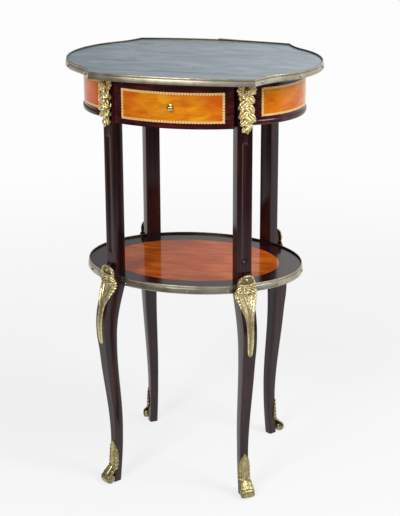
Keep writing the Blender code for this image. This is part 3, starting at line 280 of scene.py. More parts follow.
def rail_section(thickness, bottom, top, foot, band):
    """Section of a frieze board with its recess, from the inner lower edge outwards over its foot and up."""
    low, high = band
    rows = [(-thickness, bottom, False), (-thickness / 2, bottom, False)]
    rows += [(offset, bottom + rise, False) for offset, rise in foot]
    rows += [(0.0, low, False), (0.0, low, True), (0.0, high, True), (0.0, high, False)]
    rows += [(0.0, top - EASE, False), (-EASE, top, False)]
    return rows + [(-thickness / 2, top, False), (-thickness, top, False)]


rosewood_across = rosewood("french_polished_rosewood_crossways", "Y", "#1c0708", "#3d1114", "#6a2422")
rosewood_along = rosewood("french_polished_rosewood_lengthways", "X", "#1c0708", "#3d1114", "#6a2422")
bead = [(BEAD_PROUD * math.cos(a) ** 0.7, BEAD_HEIGHT / 2 * (1 + math.sin(a)))
        for a in np.radians(np.linspace(-89.9, 89.9, 9))]
eased_foot = [(-EASE, 0.0), (0.0, EASE)]
end_section = rail_section(END_THICKNESS, FRIEZE_BOTTOM, FRIEZE_TOP, bead, END_BAND)
end_faces = {"left": ((-END_CENTRE_X, 0.0), END_RADIUS, math.pi),
             "right": ((END_CENTRE_X, 0.0), END_RADIUS, 0.0)}
for side, face in end_faces.items():
    shape = bowed_board(*face, END_REACH, end_section, (END_PANEL_REACH, INLAY_THICKNESS))
    rail = dress("frieze_rail_" + side, *shape, rosewood_across)
    fit(rail, "table", "dark_wood", "side_rail_" + side)
back_face = ((0.0, -LONG_CENTRE_Y), LONG_RADIUS, math.pi / 2)
back_section = rail_section(LONG_THICKNESS, FRIEZE_BOTTOM, FRIEZE_TOP, eased_foot, LONG_BAND)
shape = bowed_board(*back_face, LONG_REACH, back_section, (PANEL_REACH, INLAY_THICKNESS), flare=LONG_FLARE)
rail = dress("frieze_rail_back", *shape, rosewood_along)
fit(rail, "table", "dark_wood", "back_rail")


# Frieze panels: knife-cut golden satinwood veneer with a mottled figure, glued into the recesses of the rails
# and polished flush with them.

STRINGING_WIDTH = 0.0039
FIT_GAP = 0.00008


def satinwood(name, dark, middle, pale, blush, mottle_size, grain_size, shine, polish):
    """Polished satinwood: soft mottle and fine grain of the given sizes in metres, flushed redder in clouds
    about 110 mm across and towards both ends of a panel."""
    material, tree, shader, place = new_finish(name)
    mottle_place = add_node(tree, "ShaderNodeMapping",
                            {"Vector": place, "Scale": [1 / s for s in mottle_size]})
    mottle = add_node(tree, "ShaderNodeTexNoise", {"Vector": mottle_place, "Scale": 1.0,
                                                   "Detail": 3.0, "Roughness": 0.55, "Distortion": 0.6})
    grain_place = add_node(tree, "ShaderNodeMapping", {"Vector": place, "Scale": [1 / s for s in grain_size]})
    grain = add_node(tree, "ShaderNodeTexNoise", {"Vector": grain_place, "Scale": 1.0,
                                                  "Detail": 3.0})
    figure = add_node(tree, "ShaderNodeMix", {"Factor": 0.25, "A": mottle,
                                              "B": grain})
    colour = add_node(tree, "ShaderNodeValToRGB", {"Fac": figure},
                      stops=[(0.35, dark), (0.50, middle), (0.65, pale)])
    cloud = add_node(tree, "ShaderNodeTexNoise", {"Vector": place, "Scale": 1 / 0.11, "Detail": 1.0})
    heart = add_node(tree, "ShaderNodeAttribute", attribute_name="heart").outputs["Fac"]
    redness = add_node(tree, "ShaderNodeMath", {0: heart, 1: 0.16, 2: cloud}, operation="MULTIPLY_ADD")
    flush = add_node(tree, "ShaderNodeMapRange", {"Value": redness, "From Min": 0.48,
                                                  "From Max": 0.72, "To Max": 0.75})
    clouded = add_node(tree, "ShaderNodeMix", {"Factor": flush, "A": colour, "B": linear(blush)},
                       data_type="RGBA")
    ripple = add_node(tree, "ShaderNodeMapRange", {"Value": mottle, "To Min": polish,
                                                   "To Max": polish + 0.08})
    relief = add_node(tree, "ShaderNodeBump", {"Height": grain, "Strength": 0.03, "Distance": 0.0002})
    set_inputs(tree, shader, {"Base Color": clouded.outputs["Result"],
                              "Roughness": ripple, "Normal": relief,
                              "IOR": 1.5, "Specular IOR Level": shine})
    return material


def veneer_panel(name, centre, radius, middle, reach, band):
    """A panel of veneer in its recess, a hair's breadth clear of the stringing."""
    border = STRINGING_WIDTH + FIT_GAP
    bottom, top = band[0] + border, band[1] - border
    inner = -INLAY_THICKNESS + FIT_GAP
    section = [(inner, bottom, False), (0.0, bottom, False), (0.0, top, False), (inner, top, False)]
    shape = bowed_board(centre, radius, middle, reach - border / radius, section)
    panel = dress(name, *shape, golden_satinwood)
    towards_heart = Vector((-math.sin(middle), math.cos(middle)))
    share = np.array([towards_heart.dot(v.co.xy) for v in panel.data.vertices]) / (radius * math.sin(reach))
    heart = np.abs(share) ** 2.5 * np.where(share > 0, 1.6, 1.2) - 0.3
    panel.data.attributes.new("heart", "FLOAT", "POINT").data.foreach_set("value", heart)
    return panel


golden_satinwood = satinwood("polished_golden_satinwood", "#c96003", "#e08306", "#f0a214", "#d04a04",
                             (0.034, 0.034, 0.013), (0.030, 0.030, 0.001), 0.40, 0.14)
inlays = {"side_" + side: (*face, END_PANEL_REACH, END_BAND) for side, face in end_faces.items()}
inlays["back"] = (*back_face, PANEL_REACH, LONG_BAND)
for owner, face in inlays.items():
    fit(veneer_panel("veneer_" + owner, *face), "table", "satinwood", owner + "_panel")


# Stringing: a flat band of boxwood and dyed chips glued slantwise like a feather, bought by the length,
# mitred at the corners and let in round each panel.

CHIP_LENGTH = 0.0052


def feather_stringing():
    """Pale boxwood crossed by slanting orange-brown chips; the chips are drawn at about twice their real
    length, so that they show at the size of the picture."""
    material, tree, shader, place = new_finish("polished_feather_stringing")
    along = add_node(tree, "ShaderNodeSeparateXYZ", {"Vector": add_node(tree, "ShaderNodeUVMap",
                                                                       uv_map="along").outputs["UV"]})
    folded = add_node(tree, "ShaderNodeMath", {0: along.outputs["Y"]}, operation="ABSOLUTE")
    slant = add_node(tree, "ShaderNodeMath", {0: folded, 1: 0.7, 2: along.outputs["X"]},
                     operation="MULTIPLY_ADD")
    repeat = add_node(tree, "ShaderNodeMath", {0: slant, 1: CHIP_LENGTH}, operation="DIVIDE")
    chip = add_node(tree, "ShaderNodeMath", {0: repeat}, operation="FRACT")
    tone = add_node(tree, "ShaderNodeTexNoise", {"Vector": place, "Scale": 1 / 0.004, "Detail": 2.0})
    uneven = add_node(tree, "ShaderNodeMath", {0: tone, 1: 0.35, 2: chip},
                      operation="MULTIPLY_ADD")
    colour = add_node(tree, "ShaderNodeValToRGB", {"Fac": uneven},
                      stops=[(0.30, "#cc8226"), (0.42, "#efcd80"), (0.80, "#f9e4aa"), (1.0, "#dca046")])
    set_inputs(tree, shader, {"Base Color": colour, "Roughness": 0.24})
    return material


def stringing_frame(centre, radius, middle, reach, band):
    """Four mitred strips on a bowed face: points, faces and a UV in metres for each point."""
    low, high = band
    inner = reach - STRINGING_WIDTH / radius
    outer_corners = [(-reach, low), (reach, low), (reach, high), (-reach, high)]
    inner_corners = [(-inner, low + STRINGING_WIDTH), (inner, low + STRINGING_WIDTH),
                     (inner, high - STRINGING_WIDTH), (-inner, high - STRINGING_WIDTH)]
    points, faces, places = [], [], []
    for side in range(4):
        ends = [outer_corners[side], outer_corners[(side + 1) % 4],
                inner_corners[side], inner_corners[(side + 1) % 4]]
        length = max(abs(ends[1][0] - ends[0][0]) * radius, abs(ends[1][1] - ends[0][1]))
        rings = []
        for share in np.linspace(0, 1, 61):
            ring = []
            for pair, across, depth in ((0, -1, 0.0), (2, 1, 0.0), (2, 1, INLAY_THICKNESS - FIT_GAP),
                                        (0, -1, INLAY_THICKNESS - FIT_GAP)):
                start, end = ends[pair], ends[pair + 1]
                angle = middle + start[0] + (end[0] - start[0]) * share
                away = radius - depth
                ring.append((centre[0] + away * math.cos(angle), centre[1] + away * math.sin(angle),
                             start[1] + (end[1] - start[1]) * share))
                places.append((share * length, across * STRINGING_WIDTH / 2))
            rings.append(ring)
        strip_points, strip_faces = loft(rings)
        faces += [tuple(i + len(points) for i in face) for face in strip_faces]
        points += strip_points
    return points, faces, places


def lay_stringing(name, face):
    points, faces, places = stringing_frame(*face)
    piece = dress(name, points, faces, stringing_finish, weld=False)
    layer = piece.data.uv_layers.new(name="along")
    layer.data.foreach_set("uv", np.ravel([places[loop.vertex_index] for loop in piece.data.loops]))
    return piece


stringing_finish = feather_stringing()
for owner, face in inlays.items():
    fit(lay_stringing("stringing_" + owner, face), "table", "stringing", owner + "_stringing")


# Carcase: oak rails behind the drawer, runners and kickers, and the board that carries the stone. They are
# planed and left unpolished; steel screws go up through the kickers into the board.

def planed_oak(name, along):
    """Planed, unpolished oak: dull straw brown, with open pores 1 mm wide drawn out along one axis."""
    material, tree, shader, place = new_finish(name)
    stretch = [1 / 0.0012] * 3
    stretch["XYZ".index(along)] = 1 / 0.05
    grain_place = add_node(tree, "ShaderNodeMapping", {"Vector": place, "Scale": stretch})
    grain = add_node(tree, "ShaderNodeTexNoise", {"Vector": grain_place, "Scale": 1.0,
                                                  "Detail": 5.0, "Roughness": 0.65})
    colour = add_node(tree, "ShaderNodeValToRGB", {"Fac": grain},
                      stops=[(0.30, "#6d4e30"), (0.50, "#9a7449"), (0.72, "#b8935f")])
    pores = add_node(tree, "ShaderNodeBump", {"Height": grain, "Strength": 0.3, "Distance": 0.0004})
    set_inputs(tree, shader, {"Base Color": colour, "Normal": pores,
                              "Roughness": 0.62})
    return material


def turned_steel():
    """Turned steel screws: mid grey, dulled by age in spots about 1.5 mm across."""
    material, tree, shader, place = new_finish("dulled_screw_steel")
    dulling = add_node(tree, "ShaderNodeTexNoise", {"Vector": place, "Scale": 1 / 0.0015, "Detail": 3.0})
    colour = add_node(tree, "ShaderNodeValToRGB", {"Fac": dulling},
                      stops=[(0.3, "#6a6864"), (0.7, "#a3a19c")])
    set_inputs(tree, shader, {"Base Color": colour, "Metallic": 1.0, "Roughness": 0.42})
    return material


oak_along = planed_oak("planed_oak_lengthways", "X")
oak_across = planed_oak("planed_oak_crossways", "Y")
screw_steel = turned_steel()
for name in ("front_rail_lower", "front_rail_upper", "top_board"):
    nodes[name].data.materials[0] = oak_along
for side in ("left", "right"):
    nodes["runner_" + side].data.materials[0] = oak_across
    nodes["kicker_" + side].data.materials[0] = oak_across
for corner in CORNERS:
    nodes["top_screw_" + corner].data.materials[0] = screw_steel


# Drawer: a bowed rosewood front veneered and strung like the frieze, over oak sides, back and bottom that
# are housed and grooved together.

DRAWER_LOW, DRAWER_HIGH = FRIEZE_BOTTOM + 0.0003, FRIEZE_TOP - 0.0008

drawer_face = ((0.0, LONG_CENTRE_Y), LONG_RADIUS, -math.pi / 2)
drawer_section = rail_section(LONG_THICKNESS, DRAWER_LOW, DRAWER_HIGH, eased_foot, LONG_BAND)
shape = bowed_board(*drawer_face, LONG_REACH, drawer_section, (PANEL_REACH, INLAY_THICKNESS),
                    flare=LONG_FLARE)
fit(dress("drawer_front_board", *shape, rosewood_along), "drawer", "dark_wood", "drawer_front")
drawer_inlay = (*drawer_face, PANEL_REACH, LONG_BAND)
fit(veneer_panel("veneer_drawer", *drawer_inlay), "drawer", "satinwood", "drawer_panel")
fit(lay_stringing("stringing_drawer", drawer_inlay), "drawer", "stringing", "drawer_stringing")
for side in ("left", "right"):
    nodes["drawer_side_" + side].data.materials[0] = oak_across
for name in ("drawer_back", "drawer_bottom"):
    nodes[name].data.materials[0] = oak_along


# Knob: a small brass knob turned in one with its rose and screwed shank, gilt, held by a nut inside.

KNOB_PLACE = (0.0, LONG_CENTRE_Y - LONG_RADIUS, 0.7077)
KNOB_PROFILE = [(0.0, 0.0105), (0.0020, 0.0102), (0.0038, 0.0091), (0.0050, 0.0073), (0.0055, 0.0055),
                (0.0051, 0.0042), (0.0042, 0.0034), (0.0032, 0.0029), (0.0030, 0.0024), (0.0036, 0.0020),
                (0.0048, 0.0017), (0.0057, 0.0012), (0.0058, 0.0004), (0.0056, 0.0001), (0.0020, 0.0001),
                (0.0020, -0.0246), (0.0, -0.0246)]


def chased_gilt(name, worn, bright, hollow, gloss):
    """Ormolu: cast brass, chased and fire gilt; yellow and half bright on the high parts, turning brown-green
    and dull with wear and with painted shade where the piece marks its shade, with soft hammer-like
    unevenness about 2 mm across."""
    material, tree, shader, place = new_finish(name)
    wear = add_node(tree, "ShaderNodeTexNoise", {"Vector": place, "Scale": 1 / 0.006, "Detail": 4.0,
                                                 "Roughness": 0.6})
    gold = add_node(tree, "ShaderNodeValToRGB", {"Fac": wear},
                    stops=[(0.35, worn), (0.62, bright)])
    # The hollow colour is painted shade, mixed in by the piece's marked shade and, more lightly, by the wear.
    depth = add_node(tree, "ShaderNodeAttribute", attribute_name="hollow").outputs["Fac"]
    wear_and_painted_shade = add_node(tree, "ShaderNodeMath", {0: wear, 1: 0.5, 2: depth}, operation="MULTIPLY_ADD")
    wear_and_shade_share = add_node(tree, "ShaderNodeMapRange", {"Value": wear_and_painted_shade, "From Min": 0.35,
                                                   "From Max": 1.0})
    colour = add_node(tree, "ShaderNodeMix", {"Factor": wear_and_shade_share, "A": gold, "B": linear(hollow)},
                      data_type="RGBA")
    dull = add_node(tree, "ShaderNodeMapRange", {"Value": wear_and_shade_share, "To Min": gloss, "To Max": 0.6})
    chasing = add_node(tree, "ShaderNodeTexNoise", {"Vector": place, "Scale": 1 / 0.002, "Detail": 2.0})
    relief = add_node(tree, "ShaderNodeBump", {"Height": chasing, "Strength": 0.25,
                                               "Distance": 0.0004})
    set_inputs(tree, shader, {"Base Color": colour.outputs["Result"], "Roughness": dull,
                              "Normal": relief, "Metallic": 1.0})
    return material


def turned_piece(name, profile, sides, material):
    """A solid of revolution about Z, from (radius, height) points that start and end on the axis."""
    rings = []
    for radius, height in profile:
        angles = np.linspace(0, 2 * math.pi, sides, endpoint=False)
        rings.append([(radius * math.cos(a), radius * math.sin(a), height) for a in angles])
    points, faces = loft(rings)
    return dress(name, points, faces[:-2], material)


knob_gilt = chased_gilt("burnished_gilt_of_the_knob", "#b09860", "#dccd98", "#3a2c18", 0.10)
knob = turned_piece("turned_knob", KNOB_PROFILE, 48, knob_gilt)
knob.data.transform(Matrix.Translation(KNOB_PLACE) @ Matrix.Rotation(math.pi / 2, 4, "X"))
fit(knob, "drawer", "gilt", "drawer_knob")


# Stone top: a thin slab of polished grey-blue marble, sawn to the top's outline and bedded on the board
# inside the brass rim.

def grey_marble():
    """Polished grey-blue marble: cloudy bands 30 to 80 mm across, one darker vein towards the front, and a
    soft mirror polish."""
    material, tree, shader, place = new_finish("polished_grey_marble")
    bed_place = add_node(tree, "ShaderNodeMapping",
                         {"Vector": place, "Scale": (1 / 0.080, 1 / 0.034, 1 / 0.034)})
    bed = add_node(tree, "ShaderNodeTexNoise", {"Vector": bed_place, "Scale": 1.0,
                                                "Detail": 5.0, "Roughness": 0.58, "Distortion": 1.1})
    colour = add_node(tree, "ShaderNodeValToRGB", {"Fac": bed},
                      stops=[(0.28, "#63757f"), (0.50, "#7c8d97"), (0.72, "#98a7af")])
    split = add_node(tree, "ShaderNodeSeparateXYZ", {"Vector": place})
    drift = add_node(tree, "ShaderNodeMath", {0: bed, 1: 0.030, 2: split.outputs["Y"]},
                     operation="MULTIPLY_ADD")
    near_vein = add_node(tree, "ShaderNodeMapRange", {"Value": drift, "From Min": -0.135, "From Max": -0.075})
    vein = add_node(tree, "ShaderNodeValToRGB", {"Fac": near_vein},
                    stops=[(0.35, "#ffffff"), (0.50, "#c4c6ca"), (0.65, "#ffffff")])
    veined = add_node(tree, "ShaderNodeMix", {"Factor": 1.0, "A": colour, "B": vein}, data_type="RGBA",
                      blend_type="MULTIPLY")
    smear = add_node(tree, "ShaderNodeMapRange", {"Value": bed, "To Min": 0.14, "To Max": 0.24})
    set_inputs(tree, shader, {"Base Color": veined.outputs["Result"], "Roughness": smear,
                              "IOR": 1.5})
    return material


nodes["top_slab"].data.materials[0] = grey_marble()


# Top rim: five lengths of drawn brass moulding, a broad band that leans back under a narrow lip, bent round
# the board's edge, mitred at the corners, butted behind, and screwed on. One end has sprung up a little.

TOP_BOTTOM = 0.748
RIM_HEIGHT, RIM_WIDTH = 0.012, 0.0042
TOP_DEPTH = 0.1776
CORNER_POINT = (0.141, 0.1626)
LOBE_X, LOBE_RADIUS = 0.0697, 0.1553
HOLLOW_RADIUS = 0.122
BOW_RADIUS = (CORNER_POINT[0] ** 2 + (TOP_DEPTH - CORNER_POINT[1]) ** 2) / (2 * (TOP_DEPTH - CORNER_POINT[1]))
BOW_Y = TOP_DEPTH - BOW_RADIUS
BACK_JOINT = 0.004
JOINT_GAP = 0.0001
SPRUNG_UP, SPRUNG_LENGTH = 0.0016, 0.09


def circles_meet(a, radius_a, b, radius_b, near):
    """The crossing of two circles nearest to a point."""
    a, b = Vector(a), Vector(b)
    along = (b - a).normalized()
    foot = ((b - a).length_squared + radius_a ** 2 - radius_b ** 2) / (2 * (b - a).length)
    aside = math.sqrt(radius_a ** 2 - foot ** 2)
    normal = Vector((-along.y, along.x))
    crossings = (a + along * foot + normal * aside, a + along * foot - normal * aside)
    return min(crossings, key=lambda p: (p - Vector(near)).length)


def arc(centre, radius, start, end, count):
    angles = np.linspace(start, end, count)
    return [(centre[0] + radius * math.cos(t), centre[1] + radius * math.sin(t)) for t in angles]


hollow_centre = circles_meet((LOBE_X, 0), LOBE_RADIUS + HOLLOW_RADIUS, CORNER_POINT, HOLLOW_RADIUS,
                             (0.45, 0.36))


def rim_corner(inset):
    return circles_meet((0, BOW_Y), BOW_RADIUS - inset, hollow_centre, HOLLOW_RADIUS + inset, CORNER_POINT)


def right_end(inset):
    """The right end of the top, from its front corner round to its back corner."""
    join = math.atan2(hollow_centre.y, hollow_centre.x - LOBE_X)
    corner = rim_corner(inset) - hollow_centre
    slack = JOINT_GAP / HOLLOW_RADIUS
    lobe = arc((LOBE_X, 0), LOBE_RADIUS - inset, 0.0, join, 49)
    last = math.atan2(corner.y, corner.x) % (2 * math.pi) - slack
    hollow = arc(hollow_centre, HOLLOW_RADIUS + inset, join + math.pi, last, 33)
    half = lobe + hollow[1:]
    return [(x, -y) for x, y in reversed(half)][:-1] + half


def back_length(inset, start_x, end_x):
    """A length of the bowed back, between two places along it; None is the mitred corner."""
    corner = rim_corner(inset).x - JOINT_GAP
    radius = BOW_RADIUS - inset
    first = math.acos((corner if start_x is None else start_x) / radius)
    last = math.acos((-corner if end_x is None else end_x) / radius)
    return arc((0, BOW_Y), radius, first, last, 73)


def rim_profile(width, height):
    """Section of the moulding as (inset, rise): a tall band that leans back, a quirk, and a round lip."""
    tilts = np.radians(np.linspace(7, 16, 13))
    rises = np.linspace(0.05, 0.68, 13)
    steps = np.tan(tilts[:-1]) * np.diff(rises) * height / width
    band = list(zip(0.02 + np.concatenate([[0.0], np.cumsum(steps)]), rises))
    top = band[-1][0]
    turns = np.radians(np.linspace(-70, 90, 13))
    lip = [(top + 0.24 - 0.24 * math.cos(a), 0.86 + 0.14 * math.sin(a)) for a in turns]
    section = [(1.0, 0.0), (0.08, 0.0)] + band + [(top + 0.12, 0.69), (top + 0.16, 0.72)] + lip
    section += [(0.88, 0.985), (0.97, 0.95), (1.0, 0.90)]
    return [(inset * width, rise * height) for inset, rise in section]


def rim_length(path, profile, bottom):
    """A length of moulding; the path is a function of the inset."""
    sections = [[(x, y, bottom + rise) for x, y in path(inset)] for inset, rise in profile]
    return loft([list(ring) for ring in zip(*sections)])


def pale_brass():
    """Drawn and polished brass gone pale with age: silver-gold, with faint rubbing lines along it about
    0.5 mm apart, and painted shade in dark brown where the piece marks its shade."""
    material, tree, shader, place = new_finish("polished_pale_brass")
    patch = add_node(tree, "ShaderNodeTexNoise", {"Vector": place, "Scale": 1 / 0.025, "Detail": 4.0})
    colour = add_node(tree, "ShaderNodeValToRGB", {"Fac": patch},
                      stops=[(0.35, "#a09885"), (0.65, "#c6beaa")])
    # Painted shade: dark brown mixed in by the piece's marked shade.
    depth = add_node(tree, "ShaderNodeAttribute", attribute_name="hollow").outputs["Fac"]
    brass_with_painted_shade = add_node(tree, "ShaderNodeMix", {"Factor": depth, "A": colour, "B": linear("#4c4230")},
                       data_type="RGBA")
    rub_place = add_node(tree, "ShaderNodeMapping",
                         {"Vector": place, "Scale": (1 / 0.02, 1 / 0.02, 1 / 0.0005)})
    rub = add_node(tree, "ShaderNodeTexNoise", {"Vector": rub_place, "Scale": 1.0, "Detail": 2.0})
    gloss = add_node(tree, "ShaderNodeMapRange", {"Value": rub, "To Min": 0.26, "To Max": 0.36})
    set_inputs(tree, shader, {"Base Color": brass_with_painted_shade.outputs["Result"], "Roughness": gloss,
                              "Metallic": 1.0})
    return material


def mark_painted_shade(piece, values):
    """Stores how much painted shade each point takes, from 0 to 1, for the finish to read."""
    layer = piece.data.attributes.new("hollow", "FLOAT", "POINT")
    layer.data.foreach_set("value", np.asarray(values, dtype=np.float32))


def cast_shell(name, points, faces, hollow, material):
    """A smooth piece with its painted shade marked."""
    piece = dress(name, points, faces, material, sharp=60.0, weld=False)
    mark_painted_shade(piece, hollow)
    return piece


def rim_moulding(name, path, width, height, bottom):
    """A length of rim, with painted shade in its quirk, along its lower edge, over the top of its lip and
    down its inner side.
    """
    profile = rim_profile(width, height)
    points, faces = rim_length(path, profile, bottom)
    inset, rise = np.array(profile).T / [[width], [height]]
    # Painted shade: strongest in the quirk, lighter along the lower edge and over the lip's top, full down
    # the inner side.
    quirk = 0.8 * np.exp(-((rise - 0.70) / 0.035) ** 2) + 0.4 * np.clip(1 - rise / 0.08, 0, 1)
    hollow = np.clip(quirk + 0.45 * np.clip(rise / 0.07 - 13.2, 0, 1) + (inset > 0.95), 0, 1)
    return cast_shell(name, points, faces, np.tile(hollow, len(points) // len(profile)), rim_brass)


rim_brass = pale_brass()
nodes["knob_nut"].data.materials[0] = rim_brass


def flipped(points):
    return [(-x, -y) for x, y in points]


top_lengths = {
    "right": right_end,
    "left": lambda inset: flipped(right_end(inset)),
    "front": lambda inset: flipped(back_length(inset, None, None)),
    "back_right": lambda inset: back_length(inset, None, BACK_JOINT + JOINT_GAP),
    "back_left": lambda inset: back_length(inset, BACK_JOINT - JOINT_GAP, None),
}
for where, path in top_lengths.items():
    strip = rim_moulding("top_rim_moulding_" + where, path, RIM_WIDTH, RIM_HEIGHT, TOP_BOTTOM)
    if where == "back_right":
        for vertex in strip.data.vertices:
            vertex.co.z += SPRUNG_UP * max(0.0, 1 - (vertex.co.x - BACK_JOINT) / SPRUNG_LENGTH) ** 2
    fit(strip, "table", "rim_brass", "top_rim_" + where)


# Shelf: a dark board with a satinwood oval let into it, notched round the posts and pegged to them, polished
# like the frieze.

shelf_rosewood = rosewood("french_polished_rosewood_of_the_shelf", "X", "#140607", "#290c0e", "#4c191a")
red_satinwood = satinwood("polished_red_satinwood", "#a8420a", "#ca5e10", "#de7a20", "#b03e08",
                          (0.060, 0.012, 0.060), (0.030, 0.001, 0.030), 0.22, 0.04)
nodes["shelf_board"].data.materials[0] = shelf_rosewood
nodes["shelf_oval"].data.materials[0] = red_satinwood


# Shelf rim: four lengths of the same brass moulding in a smaller size, bent to the oval between the posts.

SHELF_BOTTOM, SHELF_RIM_HEIGHT, SHELF_RIM_WIDTH = 0.3803, 0.0140, 0.0038
SHELF_LENGTH, SHELF_DEPTH = 0.1959, 0.1525


def shelf_edge(start, end):
    """A length of the shelf's oval edge, as a function of the inset."""
    def path(inset):
        points = []
        for t in np.linspace(start, end, 73):
            normal = Vector((math.cos(t) / SHELF_LENGTH, math.sin(t) / SHELF_DEPTH)).normalized()
            points.append((SHELF_LENGTH * math.cos(t) - normal.x * inset,
                           SHELF_DEPTH * math.sin(t) - normal.y * inset))
        return points
    return path


shelf_lengths = {"front": (-130, -50), "right": (-50.5, 50.5), "back": (50, 130), "left": (129.5, 230.5)}
for where, (start, end) in shelf_lengths.items():
    path = shelf_edge(math.radians(start), math.radians(end))
    strip = rim_moulding("shelf_rim_moulding_" + where, path, SHELF_RIM_WIDTH, SHELF_RIM_HEIGHT, SHELF_BOTTOM)
    fit(strip, "table", "rim_brass", "shelf_rim_" + where)


# Rim screws: small round-headed brass screws, driven through the bands of both rims.

SCREW_RADIUS = 0.0020
SCREW_DOME = 0.0013
SCREW_RISE = 0.33


def points_tree():
    """Sets one shape at every point of a mesh, turned and sized by the points' own attributes."""
    tree = bpy.data.node_groups.new("set_at_points", "GeometryNodeTree")
    for name, kind in (("Geometry", "NodeSocketGeometry"), ("Shape", "NodeSocketObject"),
                       ("Scale", "NodeSocketFloat"), ("Finish", "NodeSocketMaterial")):
        tree.interface.new_socket(name, in_out="INPUT", socket_type=kind)
    tree.interface.new_socket("Geometry", in_out="OUTPUT", socket_type="NodeSocketGeometry")
    entry = add_node(tree, "NodeGroupInput")
    turn = add_node(tree, "GeometryNodeInputNamedAttribute", {"Name": "turn"}, data_type="FLOAT_VECTOR")
    size = add_node(tree, "GeometryNodeInputNamedAttribute", {"Name": "size"}, data_type="FLOAT_VECTOR")
    rotation = add_node(tree, "FunctionNodeEulerToRotation", {"Euler": turn})
    scale = add_node(tree, "ShaderNodeVectorMath", {0: size, "Scale": entry.outputs["Scale"]},
                     operation="SCALE")
    shape = add_node(tree, "GeometryNodeObjectInfo", {"Object": entry.outputs["Shape"]})
    points = add_node(tree, "GeometryNodeMeshToPoints", {"Mesh": entry.outputs["Geometry"]})
    placed = add_node(tree, "GeometryNodeInstanceOnPoints",
                      {"Points": points, "Instance": shape.outputs["Geometry"],
                       "Rotation": rotation, "Scale": scale})
    solid = add_node(tree, "GeometryNodeRealizeInstances", {"Geometry": placed})
    finished = add_node(tree, "GeometryNodeSetMaterial",
                        {"Geometry": solid, "Material": entry.outputs["Finish"]})
    add_node(tree, "NodeGroupOutput", {"Geometry": finished})
    return tree


set_at_points = points_tree()


def set_shapes(name, shape, places, turns, sizes, scale, material):
    """Runs the tree on a mesh of points and keeps the result as a plain mesh."""
    mesh = bpy.data.meshes.new(name)
    mesh.from_pydata([tuple(p) for p in places], [], [])
    for key, rows in (("turn", turns), ("size", sizes)):
        layer = mesh.attributes.new(key, "FLOAT_VECTOR", "POINT")
        layer.data.foreach_set("vector", np.ravel(np.asarray(rows, dtype=np.float32)))
    piece = add_object(name, mesh)
    modifier = piece.modifiers.new("set_at_points", "NODES")
    modifier.node_group = set_at_points
    values = {"Shape": shape, "Scale": scale, "Finish": material}
    for item in set_at_points.interface.items_tree:
        if item.in_out == "INPUT" and item.name in values:
            modifier[item.identifier] = values[item.name]
    bpy.context.view_layer.update()
    evaluated = piece.evaluated_get(bpy.context.evaluated_depsgraph_get())
    made = bpy.data.meshes.new_from_object(evaluated)
    piece.modifiers.clear()
    piece.data = made
    return piece


screw_shares = [(0.0, 1.0), (0.5, 0.86), (0.85, 0.5), (1.0, 0.1), (1.0, -0.5), (0.0, -0.5)]
screw_profile = [(across * SCREW_RADIUS, up * SCREW_DOME) for across, up in screw_shares]
screw_head = turned_piece("screw_head", screw_profile, 20, rim_brass)
# Painted shade on the skirt under each head's dome.
mark_painted_shade(screw_head, [0.0 if v.co.z > 0.3 * SCREW_DOME else 0.8 for v in screw_head.data.vertices])
screw_places, screw_turns = [], []


def add_screws(path, shares, level):
    """Screw heads at shares of a path's length, square to it."""
    points = [Vector(p) for p in path(0.0)]
    for share in shares:
        i = min(int(share * (len(points) - 1)), len(points) - 2)
        along = (points[i + 1] - points[i]).normalized()
        outward = Vector((along.y, -along.x))
        screw_places.append((points[i].x, points[i].y, level))
        screw_turns.append((0.0, math.pi / 2, math.atan2(outward.y, outward.x)))


for where, shares in (("front", (0.30, 0.66)), ("back_right", (0.25, 0.75)), ("back_left", (0.25, 0.75)),
                      ("right", (0.08, 0.30, 0.5, 0.70, 0.92)), ("left", (0.08, 0.30, 0.5, 0.70, 0.92))):
    add_screws(top_lengths[where], shares, TOP_BOTTOM + SCREW_RISE * RIM_HEIGHT)
for where, shares in (("front", (0.16, 0.59, 0.86)), ("back", (0.2, 0.8)), ("left", (0.2, 0.5, 0.8)),
                      ("right", (0.2, 0.5, 0.8))):
    start, end = shelf_lengths[where]
    path = shelf_edge(math.radians(start), math.radians(end))
    add_screws(path, shares, SHELF_BOTTOM + SCREW_RISE * SHELF_RIM_HEIGHT)
rim_screws = set_shapes("rim_screws", screw_head, screw_places, screw_turns, [(1, 1, 1)] * len(screw_places),
                        1.0, rim_brass)
fit(rim_screws, "table", "rim_brass")
bpy.data.objects.remove(screw_head)


# Leaf drops: cast and chased ormolu drops of overlapping laurel leaves under the top, one on each post. The
# leaves stand on a core that is pinned to the wood.

DROP_TOP = 0.7437
DROP_SEAT = 0.0207 / 2


def leaf_shape():
    """One leaf of unit length in three fluted lobes: its stalk at the origin, its tip down, its face outwards
    along X."""
    v, u = np.meshgrid(np.linspace(0, 1, 19), np.linspace(-1, 1, 31), indexing="ij")
    half = np.interp(v, [0, 0.2, 0.6, 0.85, 1.0], [0.10, 0.22, 0.36, 0.34, 0.24])
    lobes = np.abs(np.cos(1.5 * math.pi * u))
    swell = np.interp(v, [0, 0.3, 0.85, 1.0], [0.3, 1.0, 1.0, 0.3])
    x = 0.16 * np.sin(2.6 * v) + swell * (0.12 * lobes ** 0.6 - 0.14 * np.abs(u) ** 1.8)
    z = -v * (0.90 - 0.22 * u ** 2 + 0.10 * lobes * v ** 2)
    front = np.stack([x, u * half, z], axis=-1).reshape(-1, 3)
    back = np.stack([x - 0.14 * (1 - 0.5 * v), 0.96 * u * half, z], axis=-1).reshape(-1, 3)
    # Painted shade: in the grooves between the lobes, at the stalk where the leaf above covers it, and over
    # the whole back.
    dark = 0.65 * np.clip(1 - lobes / 0.45, 0, 1) + 0.6 * np.exp(-v / 0.12)
    dark = np.concatenate([np.clip(dark, 0, 1).ravel(), np.ones(dark.size)])
    return np.concatenate([front, back]), shell_faces(*v.shape), dark


